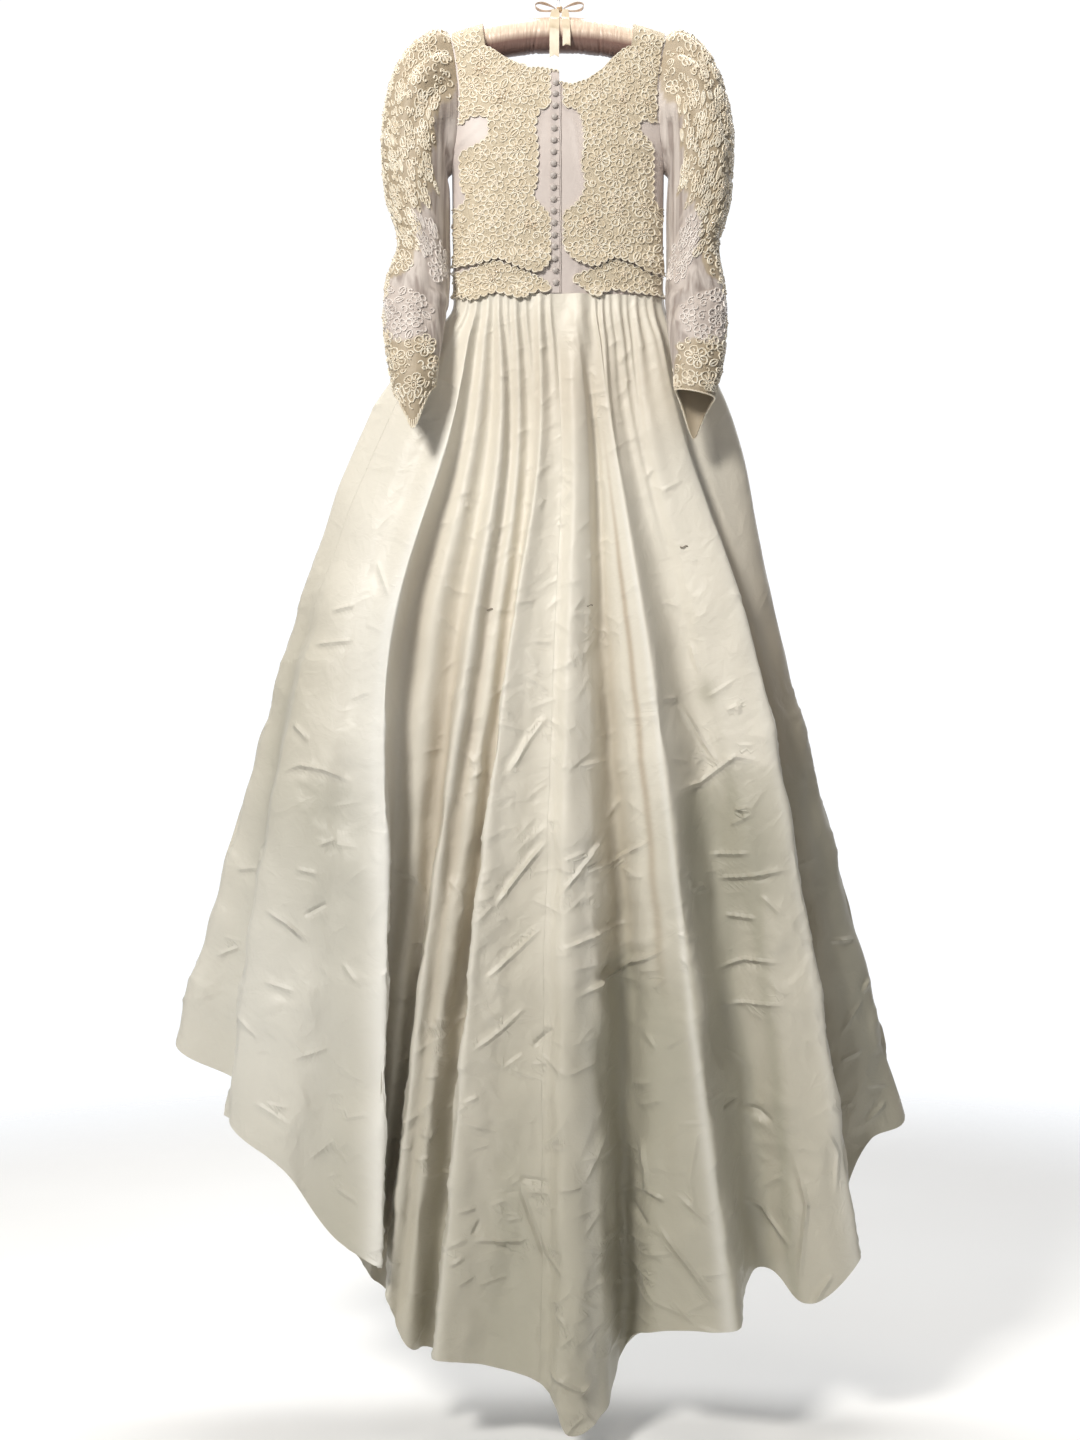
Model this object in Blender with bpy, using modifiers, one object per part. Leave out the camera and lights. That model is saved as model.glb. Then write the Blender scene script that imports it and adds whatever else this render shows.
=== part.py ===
"""Wedding dress hanging on a padded satin hanger, seen from its back at azimuth 0.

A gathered taffeta skirt with a chapel train hangs from a waist seam. The bodice
buttons down the centre back, has a corded lace overlay and a lace waist band, and
the long sleeves have gathered heads and pointed cuffs. Every piece of cloth is a
thin wall. The garment's back looks towards -Y, and the origin is the inner top of
the hanger's hook, where the whole thing is held. Tables and sizes are millimetres.
"""
import math

import bpy
import bmesh
import numpy as np

# ---------------------------------------------------------------- driving sizes
MM = 0.001                  # model units are metres

SEAM_GAP = 0.3              # between two pieces that meet
CLOTH = 1.6                 # wall of skirt, bodice and sleeves
LACE = 1.3                  # corded lace lying on the cloth

PAD_TOP_Z = -80.0           # top of the hanger pad at its middle
PAD_HALF_LENGTH = 182.0
PAD_END_LENGTH = 37.0       # the rounded last part at each end of the pad
PAD_HALF_HEIGHT = 30.0
PAD_HALF_DEPTH = 27.0
PAD_DROOP = 31.2            # how far the pad's ends hang below its middle

HOOK_INNER_RADIUS = 19.0
HOOK_WIRE_RADIUS = 1.75

WAIST_Z = -560.0
UNDERARM_Z = -345.0
SHOULDER_X = 184.0          # outer end of the shoulder seam
NECK_X = 127.0              # inner end of the shoulder seam
CENTRE_BACK_X = 2.0         # the button closing lies a little right of the middle
SHOULDER_CAP = 34.0         # height over which the cloth rolls over the pad

BUTTON_COUNT = 18
BUTTON_RADIUS = 5.5
BUTTON_HEIGHT = 4.5
BUTTON_STAND_OFF = 0.65     # thread shank between a button's foot and the placket
FIRST_BUTTON_Z = -207.0
LAST_BUTTON_Z = -541.0

BACK_GATHERS = 20           # gathers along the back half of the waist
FRONT_GATHERS = 16
GATHER_DEPTH = 6.0          # height of a gather below the waist seam

# ---------------------------------------------------------------- scene and materials
for old_object in list(bpy.data.objects):
    bpy.data.objects.remove(old_object, do_unlink=True)

PARTS = bpy.data.collections.new("wedding_dress")
CUTTERS = bpy.data.collections.new("lace_outlines")
bpy.context.scene.collection.children.link(PARTS)
bpy.context.scene.collection.children.link(CUTTERS)


def material(name, colour, roughness, metallic=0.0):
    """A plain finish for one kind of piece; colour is linear RGB."""
    finish = bpy.data.materials.new(name)
    finish.use_nodes = True
    shader = finish.node_tree.nodes["Principled BSDF"]
    shader.inputs["Base Color"].default_value = (*colour, 1.0)
    shader.inputs["Roughness"].default_value = roughness
    shader.inputs["Metallic"].default_value = metallic
    return finish


TAFFETA = material("ivory_taffeta", (0.72, 0.69, 0.60), 0.45)
LINED_SATIN = material("bodice_satin", (0.62, 0.56, 0.52), 0.55)
ORGANZA = material("sleeve_organza", (0.55, 0.48, 0.44), 0.60)
CORDED_LACE = material("corded_lace", (0.68, 0.60, 0.44), 0.75)
BUTTON_SATIN = material("button_satin", (0.48, 0.44, 0.40), 0.50)
PAD_SATIN = material("pad_satin", (0.60, 0.44, 0.38), 0.40)
RIBBON = material("ribbon_satin", (0.70, 0.58, 0.44), 0.45)
HOOK_WIRE = material("hook_wire", (0.75, 0.75, 0.76), 0.25, metallic=1.0)


# ---------------------------------------------------------------- mesh building
def add_object(name, mesh, finish, collection=PARTS):
    """Link a mesh as a named object with its material."""
    mesh.materials.append(finish)
    new_object = bpy.data.objects.new(name, mesh)
    collection.objects.link(new_object)
    return new_object


def unit(vectors):
    """Vectors of length one."""
    return vectors / np.maximum(np.linalg.norm(vectors, axis=-1, keepdims=True), 1e-9)


def even_tangents(points, wrap):
    """Directions along a grid's second axis, halfway between the sides at each point."""
    if wrap:
        ahead = unit(np.roll(points, -1, axis=1) - points)
        return ahead + np.roll(ahead, 1, axis=1)
    ahead = unit(np.diff(points, axis=1))
    return np.concatenate([ahead[:, :1], ahead[:, 1:] + ahead[:, :-1], ahead[:, -1:]], axis=1)


def grid_normals(points, wrap):
    """Unit normals of a grid of points, rows down and columns across."""
    across = even_tangents(points, wrap)
    down = np.swapaxes(even_tangents(np.swapaxes(points, 0, 1), False), 0, 1)
    return unit(np.cross(down, across))


def shorter_diagonals(points, wrap):
    """For each cell of a grid, whether it splits from its first corner."""
    right = np.roll(points, -1, axis=1)
    first = np.linalg.norm(points[:-1] - right[1:], axis=2)
    second = np.linalg.norm(right[:-1] - points[1:], axis=2)
    split = first <= second
    return split if wrap else split[:, :-1]


def cloth_wall(name, outer, inner, finish, split, wrap=False, kept=None):
    """Close two skins of points, rows down and columns across, into one wall.

    kept says which cells of the grid are cloth; the wall gets a rim round them.
    """
    rows, columns = outer.shape[:2]
    if kept is None:
        kept = np.ones_like(split)
    mesh_data = bmesh.new()
    skins = []
    for skin in (outer, inner):
        skins.append([[mesh_data.verts.new(point * MM) for point in row] for row in skin])
    outside, inside = skins

    def is_cloth(row, column):
        if wrap:
            column %= columns
        return 0 <= row < rows - 1 and 0 <= column < kept.shape[1] and kept[row, column]

    def corners(skin, row, column):
        after = (column + 1) % columns
        return skin[row][column], skin[row][after], skin[row + 1][after], skin[row + 1][column]

    for row in range(rows - 1):
        for column in range(kept.shape[1]):
            if not kept[row, column]:
                continue
            for skin, order in ((outside, 1), (inside, -1)):
                a, b, c, d = corners(skin, row, column)
                triangles = ((a, d, c), (a, c, b)) if split[row, column] else ((a, d, b), (b, d, c))
                for triangle in triangles:
                    mesh_data.faces.new(triangle[::order])
            a, b, c, d = corners(outside, row, column)
            e, f, g, h = corners(inside, row, column)
            sides = (((row - 1, column), (a, b, f, e)), ((row + 1, column), (c, d, h, g)),
                     ((row, column - 1), (d, a, e, h)), ((row, column + 1), (b, c, g, f)))
            for neighbour, rim in sides:
                if not is_cloth(*neighbour):
                    mesh_data.faces.new(rim)
    loose = [vert for vert in mesh_data.verts if not vert.link_faces]
    bmesh.ops.delete(mesh_data, geom=loose, context="VERTS")
    mesh = bpy.data.meshes.new(name)
    mesh_data.to_mesh(mesh)
    mesh_data.free()
    mesh.shade_smooth()
    mesh.set_sharp_from_angle(angle=math.radians(50))
    return add_object(name, mesh, finish)


def ease_side(points, column, neighbour):
    """Draw one column of points in by half a seam gap, towards its neighbour."""
    away = points[:, neighbour] - points[:, column]
    length = np.maximum(np.linalg.norm(away, axis=1, keepdims=True), 1e-9)
    points[:, column] += away / length * SEAM_GAP / 2


def smooth_step(value):
    """0 below 0, 1 above 1, and smooth between."""
    held = np.clip(value, 0.0, 1.0)
    return held * held * (3.0 - 2.0 * held)


# ---------------------------------------------------------------- hanger
def pad_drop(x):
    """How far the pad's middle line hangs below its highest point at x."""
    return PAD_DROOP * (x / PAD_HALF_LENGTH) ** 2


def hanger_pad():
    """A padded arm under ruched satin: rings along X, pinched at two stitched places."""
    ring_count = 25
    sides = 12
    ruche_depth = 0.07
    stitched_places = (-41.0, 75.0)
    positions = [PAD_HALF_LENGTH * math.sin(math.pi * (k / (ring_count - 1) - 0.5))
                 for k in range(ring_count)]
    mesh_data = bmesh.new()
    rings = []
    for k in range(1, ring_count - 1):
        x = positions[k]
        into_end = max(abs(x) - (PAD_HALF_LENGTH - PAD_END_LENGTH), 0.0)
        size = math.sqrt(1.0 - (into_end / PAD_END_LENGTH) ** 2)
        pinch = ruche_depth if k % 2 == 1 else 0.0
        pinch += sum(0.06 * math.exp(-((x - place) / 9.0) ** 2) for place in stitched_places)
        ring = []
        for side in range(sides):
            angle = 2 * math.pi * side / sides
            radius = size * (1.0 - pinch * (0.5 - 0.5 * math.sin(angle)))
            middle_z = PAD_TOP_Z - PAD_HALF_HEIGHT - pad_drop(x)
            ring.append(mesh_data.verts.new((
                x * MM,
                PAD_HALF_DEPTH * radius * math.cos(angle) * MM,
                (middle_z + PAD_HALF_HEIGHT * radius * math.sin(angle)) * MM)))
        rings.append(ring)
    for one, other in zip(rings, rings[1:]):
        for side in range(sides):
            after = (side + 1) % sides
            mesh_data.faces.new((one[side], one[after], other[after], other[side]))
    for x, ring, order in ((positions[0], rings[0], -1), (positions[-1], rings[-1], 1)):
        tip_z = PAD_TOP_Z - PAD_HALF_HEIGHT - pad_drop(x)
        tip = mesh_data.verts.new((x * MM, 0.0, tip_z * MM))
        for side in range(sides):
            pair = (ring[side], ring[(side + 1) % sides])[::order]
            mesh_data.faces.new((tip, *pair))
    bmesh.ops.recalc_face_normals(mesh_data, faces=mesh_data.faces)
    mesh = bpy.data.meshes.new("hanger_pad")
    mesh_data.to_mesh(mesh)
    mesh_data.free()
    mesh.shade_smooth()
    add_object("hanger_pad", mesh, PAD_SATIN)


def wire(name, points, radius, finish, resolution=2):
    """A round wire or cord along points in millimetres, with filled ends."""
    curve = bpy.data.curves.new(name, "CURVE")
    curve.dimensions = "3D"
    curve.bevel_depth = radius * MM
    curve.bevel_resolution = resolution
    curve.use_fill_caps = True
    spline = curve.splines.new("POLY")
    spline.points.add(len(points) - 1)
    for place, point in zip(spline.points, points):
        place.co = (point[0] * MM, point[1] * MM, point[2] * MM, 1.0)
    curve.materials.append(finish)
    new_object = bpy.data.objects.new(name, curve)
    PARTS.objects.link(new_object)
    return new_object


def hanger_hook():
    """A wire hook: straight shank out of the pad, a small bend, then most of a circle."""
    line_radius = HOOK_INNER_RADIUS + HOOK_WIRE_RADIUS
    middle_z = -HOOK_INNER_RADIUS
    points = [(0.0, 0.0, PAD_TOP_Z + SEAM_GAP)]
    points += [(0.0, 0.0, -66.0), (0.0, 0.0, -56.0), (1.0, 0.0, -49.5), (4.5, 0.0, -43.5)]
    first_angle = math.radians(-62.0)
    last_angle = math.radians(196.0)
    steps = 15
    for k in range(steps + 1):
        angle = first_angle + (last_angle - first_angle) * k / steps
        points.append((line_radius * math.cos(angle), 0.0, middle_z + line_radius * math.sin(angle)))
    wire("hanger_hook", points, HOOK_WIRE_RADIUS, HOOK_WIRE)


def ribbon_strip(name, path, width, thickness, finish, closed=False):
    """A flat ribbon: a path of (x, y, z) middles, its width across X or along Y."""
    middles = np.array(path, dtype=float)
    across = np.array((0.0, width / 2, 0.0) if closed else (width / 2, 0.0, 0.0))
    outer = np.stack([middles - across, middles + across], axis=1)
    if closed:
        outer = np.transpose(outer, (1, 0, 2))
        normals = grid_normals(outer, True)
        centre = middles.mean(axis=0)
        if np.sum((outer[0] - centre) * normals[0]) < 0:
            outer = outer[:, ::-1]
            normals = -normals[:, ::-1]
    else:
        normals = grid_normals(outer, False)
    inner = outer - normals * thickness
    split = shorter_diagonals(outer, closed)
    return cloth_wall(name, outer, inner, finish, split, wrap=closed)


def ribbon_bow():
    """A small bow tied round the shank, with two tails over the pad's back."""
    knot_middle = (2.5, -7.1, -68.0)
    bpy.ops.mesh.primitive_cube_add(size=1.0, location=[value * MM for value in knot_middle])
    knot = bpy.context.object
    knot.name = "bow_knot"
    knot.data.name = "bow_knot"
    knot.scale = (0.011, 0.010, 0.012)
    bpy.ops.object.transform_apply(location=False, rotation=False, scale=True)
    edge = knot.modifiers.new("soft_edges", "BEVEL")
    edge.width = 0.003
    edge.segments = 2
    knot.data.materials.append(RIBBON)
    for collection in list(knot.users_collection):
        collection.objects.unlink(knot)
    PARTS.objects.link(knot)
    for name, side in (("bow_loop_left", -1.0), ("bow_loop_right", 1.0)):
        path = []
        for k in range(12):
            angle = 2 * math.pi * k / 12
            reach = 19.0 + 17.5 * math.cos(angle)
            rise = 9.0 * math.sin(angle) * (0.45 + 0.55 * (reach / 36.5))
            path.append((knot_middle[0] + side * (reach + 5.0), knot_middle[1],
                         knot_middle[2] + 6.0 * reach / 36.5 + rise))
        ribbon_strip(name, path, 10.0, 1.0, RIBBON, closed=True)
    # each tail leaves the knot's underside and hangs down over the pad's back
    for name, x, width, last_z in (("bow_tail_left", -5.0, 16.0, -157.0),
                                   ("bow_tail_right", 12.0, 13.0, -138.0)):
        path = [(x, -13.3, -70.0), (x, -14.6, -77.0), (x, -17.5, -84.0), (x, -23.0, -91.0),
                (x, -28.4, -104.0), (x, -28.8, -118.0), (x, -28.4, last_z)]
        ribbon_strip(name, path, width, 0.9, RIBBON)


# ---------------------------------------------------------------- bodice
# a row for each level: height, half the width, half the depth
BODICE_LEVELS = (
    (-560.0, 177.5, 50.0),
    (-450.0, 179.0, 56.0),
    (-345.0, 180.0, 58.0),
    (-300.0, 189.0, 57.0),
    (-230.0, 196.0, 52.0),
    (-170.0, 200.0, 44.0),
    (-130.0, 202.0, 39.0),
    (-80.0, 204.0, 37.0),
)
OVAL_POWER = 2.4            # a flattish oval across the body

# a row for each point of the back neckline: |x|, height on the left, on the right
BACK_NECKLINE = (
    (0.0, -187.0, -206.0),
    (25.0, -182.0, -211.0),
    (52.0, -181.0, -201.0),
    (80.0, -168.0, -181.0),
    (95.0, -160.0, -163.0),
    (113.0, -146.0, -146.0),
)


def table_value(table, column, key):
    """Read one column of a table at a key, straight between its rows."""
    rows = sorted(table)
    return np.interp(key, [row[0] for row in rows], [row[column] for row in rows])


def shoulder_z(x):
    """The shoulder seam lies on the pad, one wall and a gap above it."""
    return PAD_TOP_Z - pad_drop(x) + CLOTH + SEAM_GAP


SHOULDER_Z = shoulder_z(SHOULDER_X)


def side_x(z):
    """Half the width of a bodice panel at z: side seam below, armhole above."""
    below = table_value(BODICE_LEVELS, 1, z)
    part = np.clip((z - UNDERARM_Z) / (SHOULDER_Z - UNDERARM_Z), 0.0, 1.0)
    armhole = 180.0 + 4.0 * part - 14.0 * np.sin(math.pi * part)
    return np.where(z < UNDERARM_Z, below, armhole)


def bodice_depth(x, z):
    """Distance of the bodice from the side seams' plane at x and z."""
    half_width = table_value(BODICE_LEVELS, 1, z)
    half_depth = table_value(BODICE_LEVELS, 2, z)
    reach = np.clip(np.abs(x) / half_width, 0.0, 1.0)
    depth = half_depth * (1.0 - reach ** OVAL_POWER) ** (1.0 / OVAL_POWER)
    roll = np.clip((z - shoulder_z(x) + SHOULDER_CAP) / SHOULDER_CAP, 0.0, 1.0)
    return depth * np.sqrt(1.0 - roll ** 2)


ROWS = (0.0, 0.16, 0.32, None, 0.51, 0.59, 0.70, 0.81, 0.90, 0.935, 0.967, 0.989, 1.0)


def row_parts():
    """Heights of the rows as parts of the side column, one exactly at the underarm."""
    underarm = (UNDERARM_Z - WAIST_Z) / (SHOULDER_Z - WAIST_Z)
    return np.array([underarm if part is None else part for part in ROWS])


NECK_ROW_PART = 0.90        # the neckline leaves the shoulder strap at this row


def bodice_grid(fractions, top_of, facing):
    """Outer skin, inner skin, normals, diagonals and kept cells of a panel.

    fractions run from -1 at the left side to +1 at the right side, top_of gives the
    free top edge inside the neck, and facing is -1 for the back, +1 for the front.
    """
    bottom = WAIST_Z + SEAM_GAP / 2
    parts = row_parts()[::-1]
    points = []
    for part in parts:
        row = []
        for fraction in fractions:
            top_x = abs(fraction) * SHOULDER_X
            if top_x >= NECK_X - 1e-6:
                z = bottom + part * (shoulder_z(top_x) - bottom)
            else:
                held = min(part / NECK_ROW_PART, 1.0)
                z = bottom + held * (top_of(top_x * np.sign(fraction)) - bottom)
            x = fraction * float(side_x(z))
            depth = float(bodice_depth(x, z))
            row.append((x, facing * max(depth, SEAM_GAP / 2), z))
        points.append(row)
    outer = np.array(points)
    x, z = outer[:, :, 0], outer[:, :, 2]
    reach = 0.5
    slope_x = (bodice_depth(x + reach, z) - bodice_depth(x - reach, z)) / (2 * reach)
    slope_z = (bodice_depth(x, z + reach) - bodice_depth(x, z - reach)) / (2 * reach)
    normals = unit(np.stack([-slope_x, np.full_like(x, facing), -slope_z], axis=2))
    # seams: the wall runs straight through from one panel to the next
    for column, fraction in enumerate(fractions):
        if abs(abs(fraction) - 1.0) < 1e-6:
            below = outer[:, column, 2] <= UNDERARM_Z + 0.01
            normals[below, column] = (np.sign(fraction), 0.0, 0.0)
        if abs(fraction) * SHOULDER_X >= NECK_X - 1e-6:
            normals[0, column] = (0.0, 0.0, 1.0)
    inner = outer - normals * CLOTH
    split = shorter_diagonals(outer, False)
    outside_neck = np.abs(np.array(fractions)) * SHOULDER_X >= NECK_X - 1e-6
    strap = outside_neck[:-1] & outside_neck[1:]
    below_neck = parts[:-1] <= NECK_ROW_PART + 1e-6
    kept = below_neck[:, None] | strap[None, :]
    return outer, inner, normals, split, kept


def front_neck_z(x):
    """A round scooped front neckline."""
    return -262.0 + 126.0 * (abs(x) / NECK_X) ** 2.2


NECK_PART = NECK_X / SHOULDER_X
SIDE_PARTS = (1.0, 0.97, 0.88, 0.78, NECK_PART, 0.62)
BACK_PARTS = (0.48, 0.32, 0.19, 0.076)
FRONT_PARTS = (0.42, 0.21)


def bodice():
    """Two back panels either side of the buttons, and one front; returns their grids."""
    closing = CENTRE_BACK_X / SHOULDER_X
    left_parts = [-part for part in SIDE_PARTS + BACK_PARTS] + [closing]
    right_parts = [closing] + [part for part in (SIDE_PARTS + BACK_PARTS)[::-1]]
    grids = {}
    for name, parts in (("bodice_back_left", left_parts), ("bodice_back_right", right_parts)):
        def neck(x, right=(name == "bodice_back_right")):
            return float(table_value(BACK_NECKLINE, 2 if right else 1, abs(x)))
        outer, inner, normals, split, kept = bodice_grid(parts, neck, -1)
        closing_column, neighbour = (-1, -2) if name == "bodice_back_left" else (0, 1)
        ease_side(outer, closing_column, neighbour)
        ease_side(inner, closing_column, neighbour)
        cloth_wall(name, outer, inner, LINED_SATIN, split, kept=kept)
        grids[name] = (outer, normals, split, kept)
    half = [-part for part in SIDE_PARTS + FRONT_PARTS]
    front_parts = half + [0.0] + [-part for part in half[::-1]]
    outer, inner, normals, split, kept = bodice_grid(front_parts, front_neck_z, 1)
    # the front is seen from behind, so its columns are turned round
    outer, inner, normals = outer[:, ::-1], inner[:, ::-1], normals[:, ::-1]
    split, kept = ~split[:, ::-1], kept[:, ::-1]
    cloth_wall("bodice_front", outer, inner, LINED_SATIN, split, kept=kept)
    grids["bodice_front"] = (outer, normals, split, kept)
    return grids


def raised_piece(name, grid, first, last, thickness, finish):
    """A piece that lies on some columns of a panel: the panel's points moved out."""
    outer, normals, split, kept = grid
    base = outer[:, first:last]
    out = normals[:, first:last]
    return cloth_wall(name, base + out * (SEAM_GAP + thickness), base + out * SEAM_GAP, finish,
                      split[:, first:last - 1], kept=kept[:, first:last - 1])


# ---------------------------------------------------------------- lace on the bodice
# outlines as (x, height) corners, clockwise as seen; the panel's own edge ends the
# lace wherever an outline runs past it
LACE_BACK_LEFT = (
    (-225, -60), (-16, -60), (-16, -246), (-33, -251), (-41, -281), (-36, -322), (-38, -378),
    (-46, -398), (-32, -415), (-16, -432), (-16, -508), (-34, -523), (-66, -513), (-99, -497),
    (-136, -506), (-174, -507), (-225, -507), (-225, -418), (-168, -413), (-148, -399),
    (-161, -378), (-163, -322), (-131, -309), (-113, -296), (-116, -260), (-148, -258),
    (-165, -272), (-179, -260), (-225, -258),
)
LACE_BACK_RIGHT = (
    (11, -60), (225, -60), (225, -252), (183, -255), (162, -268), (137, -262), (132, -285),
    (157, -310), (157, -398), (167, -413), (225, -418), (225, -519), (155, -519), (127, -505),
    (93, -496), (60, -513), (28, -502), (11, -482), (11, -428), (28, -416), (43, -398),
    (48, -373), (41, -348), (46, -305), (43, -272), (33, -250), (11, -246),
)
WAIST_LACE_LEFT = (
    (-225, -524), (-150, -520), (-135, -514), (-103, -506), (-66, -521), (-34, -534), (-16, -545),
    (-16, -553), (-34, -548), (-62, -557), (-104, -547), (-141, -557), (-174, -550), (-225, -550),
)
WAIST_LACE_RIGHT = (
    (11, -546), (28, -531), (60, -522), (93, -505), (127, -514), (155, -527), (225, -529),
    (225, -552), (127, -547), (89, -543), (60, -555), (33, -552), (11, -553),
)
LACE_FRONT = (
    (-225, -60), (225, -60), (225, -258), (170, -262), (160, -300), (172, -340), (168, -410),
    (225, -418), (225, -512), (165, -512), (120, -500), (80, -512), (40, -502), (0, -516),
    (-40, -502), (-80, -512), (-120, -500), (-165, -512), (-225, -512), (-225, -418),
    (-168, -410), (-172, -340), (-160, -300), (-170, -262), (-225, -258),
)
WAIST_LACE_FRONT = (
    (-225, -522), (-165, -522), (-120, -511), (-80, -522), (-40, -512), (0, -526), (40, -512),
    (80, -522), (120, -511), (165, -522), (225, -522), (225, -552), (165, -548), (120, -556),
    (80, -546), (40, -556), (0, -548), (-40, -556), (-80, -546), (-120, -556), (-165, -548),
    (-225, -552),
)
SCALLOP_DEPTH = 2.5


def scalloped(corners):
    """Add a small outward bulge to the middle of each side of a clockwise outline."""
    outline = []
    for (x1, z1), (x2, z2) in zip(corners, corners[1:] + corners[:1]):
        length = math.hypot(x2 - x1, z2 - z1)
        outline.append((x1, z1))
        if 12.0 < length < 60.0:
            outward_x = -(z2 - z1) / length * -1.0
            outward_z = (x2 - x1) / length * -1.0
            outline.append(((x1 + x2) / 2 - outward_x * SCALLOP_DEPTH,
                            (z1 + z2) / 2 - outward_z * SCALLOP_DEPTH))
    return outline


def lace_piece(name, grid, corners, facing):
    """The panel's skin moved out, then kept only inside a scalloped outline."""
    columns = grid[0].shape[1]
    first = 1 if abs(grid[0][0, 0, 0]) > NECK_X else 0
    last = columns - 1 if abs(grid[0][0, -1, 0]) > NECK_X else columns
    piece = raised_piece(name, grid, first, last, LACE, CORDED_LACE)
    outline = scalloped(corners)
    cutter_data = bmesh.new()
    near, far = 4.0 * facing, 90.0 * facing
    front = [cutter_data.verts.new((x * MM, near * MM, z * MM)) for x, z in outline]
    face = cutter_data.faces.new(front)
    pushed = bmesh.ops.extrude_face_region(cutter_data, geom=[face])
    moved = [item for item in pushed["geom"] if isinstance(item, bmesh.types.BMVert)]
    bmesh.ops.translate(cutter_data, verts=moved, vec=(0.0, (far - near) * MM, 0.0))
    bmesh.ops.recalc_face_normals(cutter_data, faces=cutter_data.faces)
    cutter_mesh = bpy.data.meshes.new(name + "_outline")
    cutter_data.to_mesh(cutter_mesh)
    cutter_data.free()
    cutter = add_object(name + "_outline", cutter_mesh, CORDED_LACE, CUTTERS)
    cutter.hide_render = True
    cutter.display_type = "WIRE"
    keep = piece.modifiers.new("outline", "BOOLEAN")
    keep.operation = "INTERSECT"
    keep.solver = "EXACT"
    keep.object = cutter


def bodice_lace(grids):
    """Corded lace: yoke and lower overlay in one, and a separate band at the waist."""
    lace_piece("lace_back_left", grids["bodice_back_left"], LACE_BACK_LEFT, -1)
    lace_piece("lace_back_right", grids["bodice_back_right"], LACE_BACK_RIGHT, -1)
    lace_piece("lace_waist_left", grids["bodice_back_left"], WAIST_LACE_LEFT, -1)
    lace_piece("lace_waist_right", grids["bodice_back_right"], WAIST_LACE_RIGHT, -1)
    lace_piece("lace_front", grids["bodice_front"], LACE_FRONT, 1)
    lace_piece("lace_waist_front", grids["bodice_front"], WAIST_LACE_FRONT, 1)


# ---------------------------------------------------------------- closing
def back_y(x, z, height):
    """Y of a point that stands off the back panel by a height."""
    return -float(bodice_depth(x, z)) - height


PLACKET = 1.2               # thickness of the folded closing strip


def closing(grids):
    """A folded strip with a piped edge, and a column of covered buttons on it."""
    left = grids["bodice_back_left"]
    columns = left[0].shape[1]
    raised_piece("placket", left, columns - 2, columns, PLACKET, LINED_SATIN)
    piping_radius = 1.1
    outer, normals, _, kept = grids["bodice_back_right"]
    edge = outer[:, 0] + normals[:, 0] * (SEAM_GAP + piping_radius)
    edge += (piping_radius, 0.0, 0.0)
    first_row = int(np.argmax(kept[:, 0]))
    wire("placket_piping", edge[first_row:], piping_radius, LINED_SATIN)
    profile = ((0.0, 1.0), (0.66, 0.8), (1.0, 0.25), (0.86, 0.0), (0.0, 0.0))
    for number in range(BUTTON_COUNT):
        part = number / (BUTTON_COUNT - 1)
        z = FIRST_BUTTON_Z + (LAST_BUTTON_Z - FIRST_BUTTON_Z) * part
        x = -4.5 - 4.0 * math.sin(math.pi * part)
        name = "button_%02d" % (number + 1)
        mesh = bpy.data.meshes.new(name)
        mesh.from_pydata([(BUTTON_RADIUS * r * MM, 0.0, BUTTON_HEIGHT * h * MM) for r, h in profile],
                         [(k, k + 1) for k in range(len(profile) - 1)], [])
        button = add_object(name, mesh, BUTTON_SATIN)
        turn = button.modifiers.new("turn", "SCREW")
        turn.steps = 8
        turn.render_steps = 8
        turn.use_merge_vertices = True
        turn.merge_threshold = 0.00005
        button.rotation_euler = (math.radians(90.0), 0.0, 0.0)
        stand_off = SEAM_GAP + PLACKET + BUTTON_STAND_OFF
        button.location = (x * MM, back_y(x, z, stand_off) * MM, z * MM)


# ---------------------------------------------------------------- sleeves
# a row for each section of a sleeve, from the shoulder down: distance of its body
# side from the middle, that side's height, its outer side's distance and height,
# half its depth, and how far it swings towards the back
LEFT_SECTIONS = (
    ("head_rise", 187, -353, 200, -105, 46, 0),
    ("head_crown", 185, -373, 238, -122, 58, 2),
    ("head_front", 184, -396, 270, -160, 64, 4),
    ("puff_top", 184, -428, 289, -211, 66, 6),
    ("puff_wide", 184, -460, 297, -265, 64, 10),
    ("puff_low", 183, -495, 298, -326, 58, 14),
    ("puff_end", 183, -517, 291, -392, 51, 20),
    ("elbow_pinch", 183, -541, 269, -467, 42, 32),
    ("forearm_top", 184, -575, 288, -537, 42, 46),
    ("forearm", 189, -612, 291, -592, 39, 62),
    ("forearm_low", 193, -650, 287, -649, 36, 76),
    ("wrist_top", 198, -684, 280, -695, 33, 86),
    ("wrist", 202, -712, 273, -728, 30, 94),
)
RIGHT_SECTIONS = (
    ("head_rise", 187, -353, 205, -105, 46, 0),
    ("head_crown", 186, -372, 238, -124, 58, 2),
    ("head_front", 184, -396, 265, -163, 64, 4),
    ("puff_top", 183, -428, 283, -213, 66, 6),
    ("puff_wide", 183, -460, 295, -274, 64, 10),
    ("puff_low", 183, -495, 295, -334, 58, 14),
    ("puff_end", 183, -520, 289, -400, 51, 20),
    ("elbow_pinch", 181, -543, 269, -477, 42, 32),
    ("forearm_top", 180, -576, 278, -544, 42, 46),
    ("forearm", 181, -613, 280, -600, 39, 62),
    ("forearm_low", 185, -654, 276, -659, 36, 76),
    ("wrist_top", 189, -689, 267, -706, 33, 88),
    ("wrist", 191, -722, 258, -736, 30, 100),
)
HEAD_PLEAT_DEPTHS = (5.0, 5.0, 3.5, 2.5, 1.5, 0.5)
LACED_ROWS = (2, 3, 4, 5, 6, 7, 10, 11, 12, 13, 14, 15)
CUFF_POINT = 68.0           # how far the cuff's point reaches below its band
CUFF_BAND = 8.0


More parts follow.
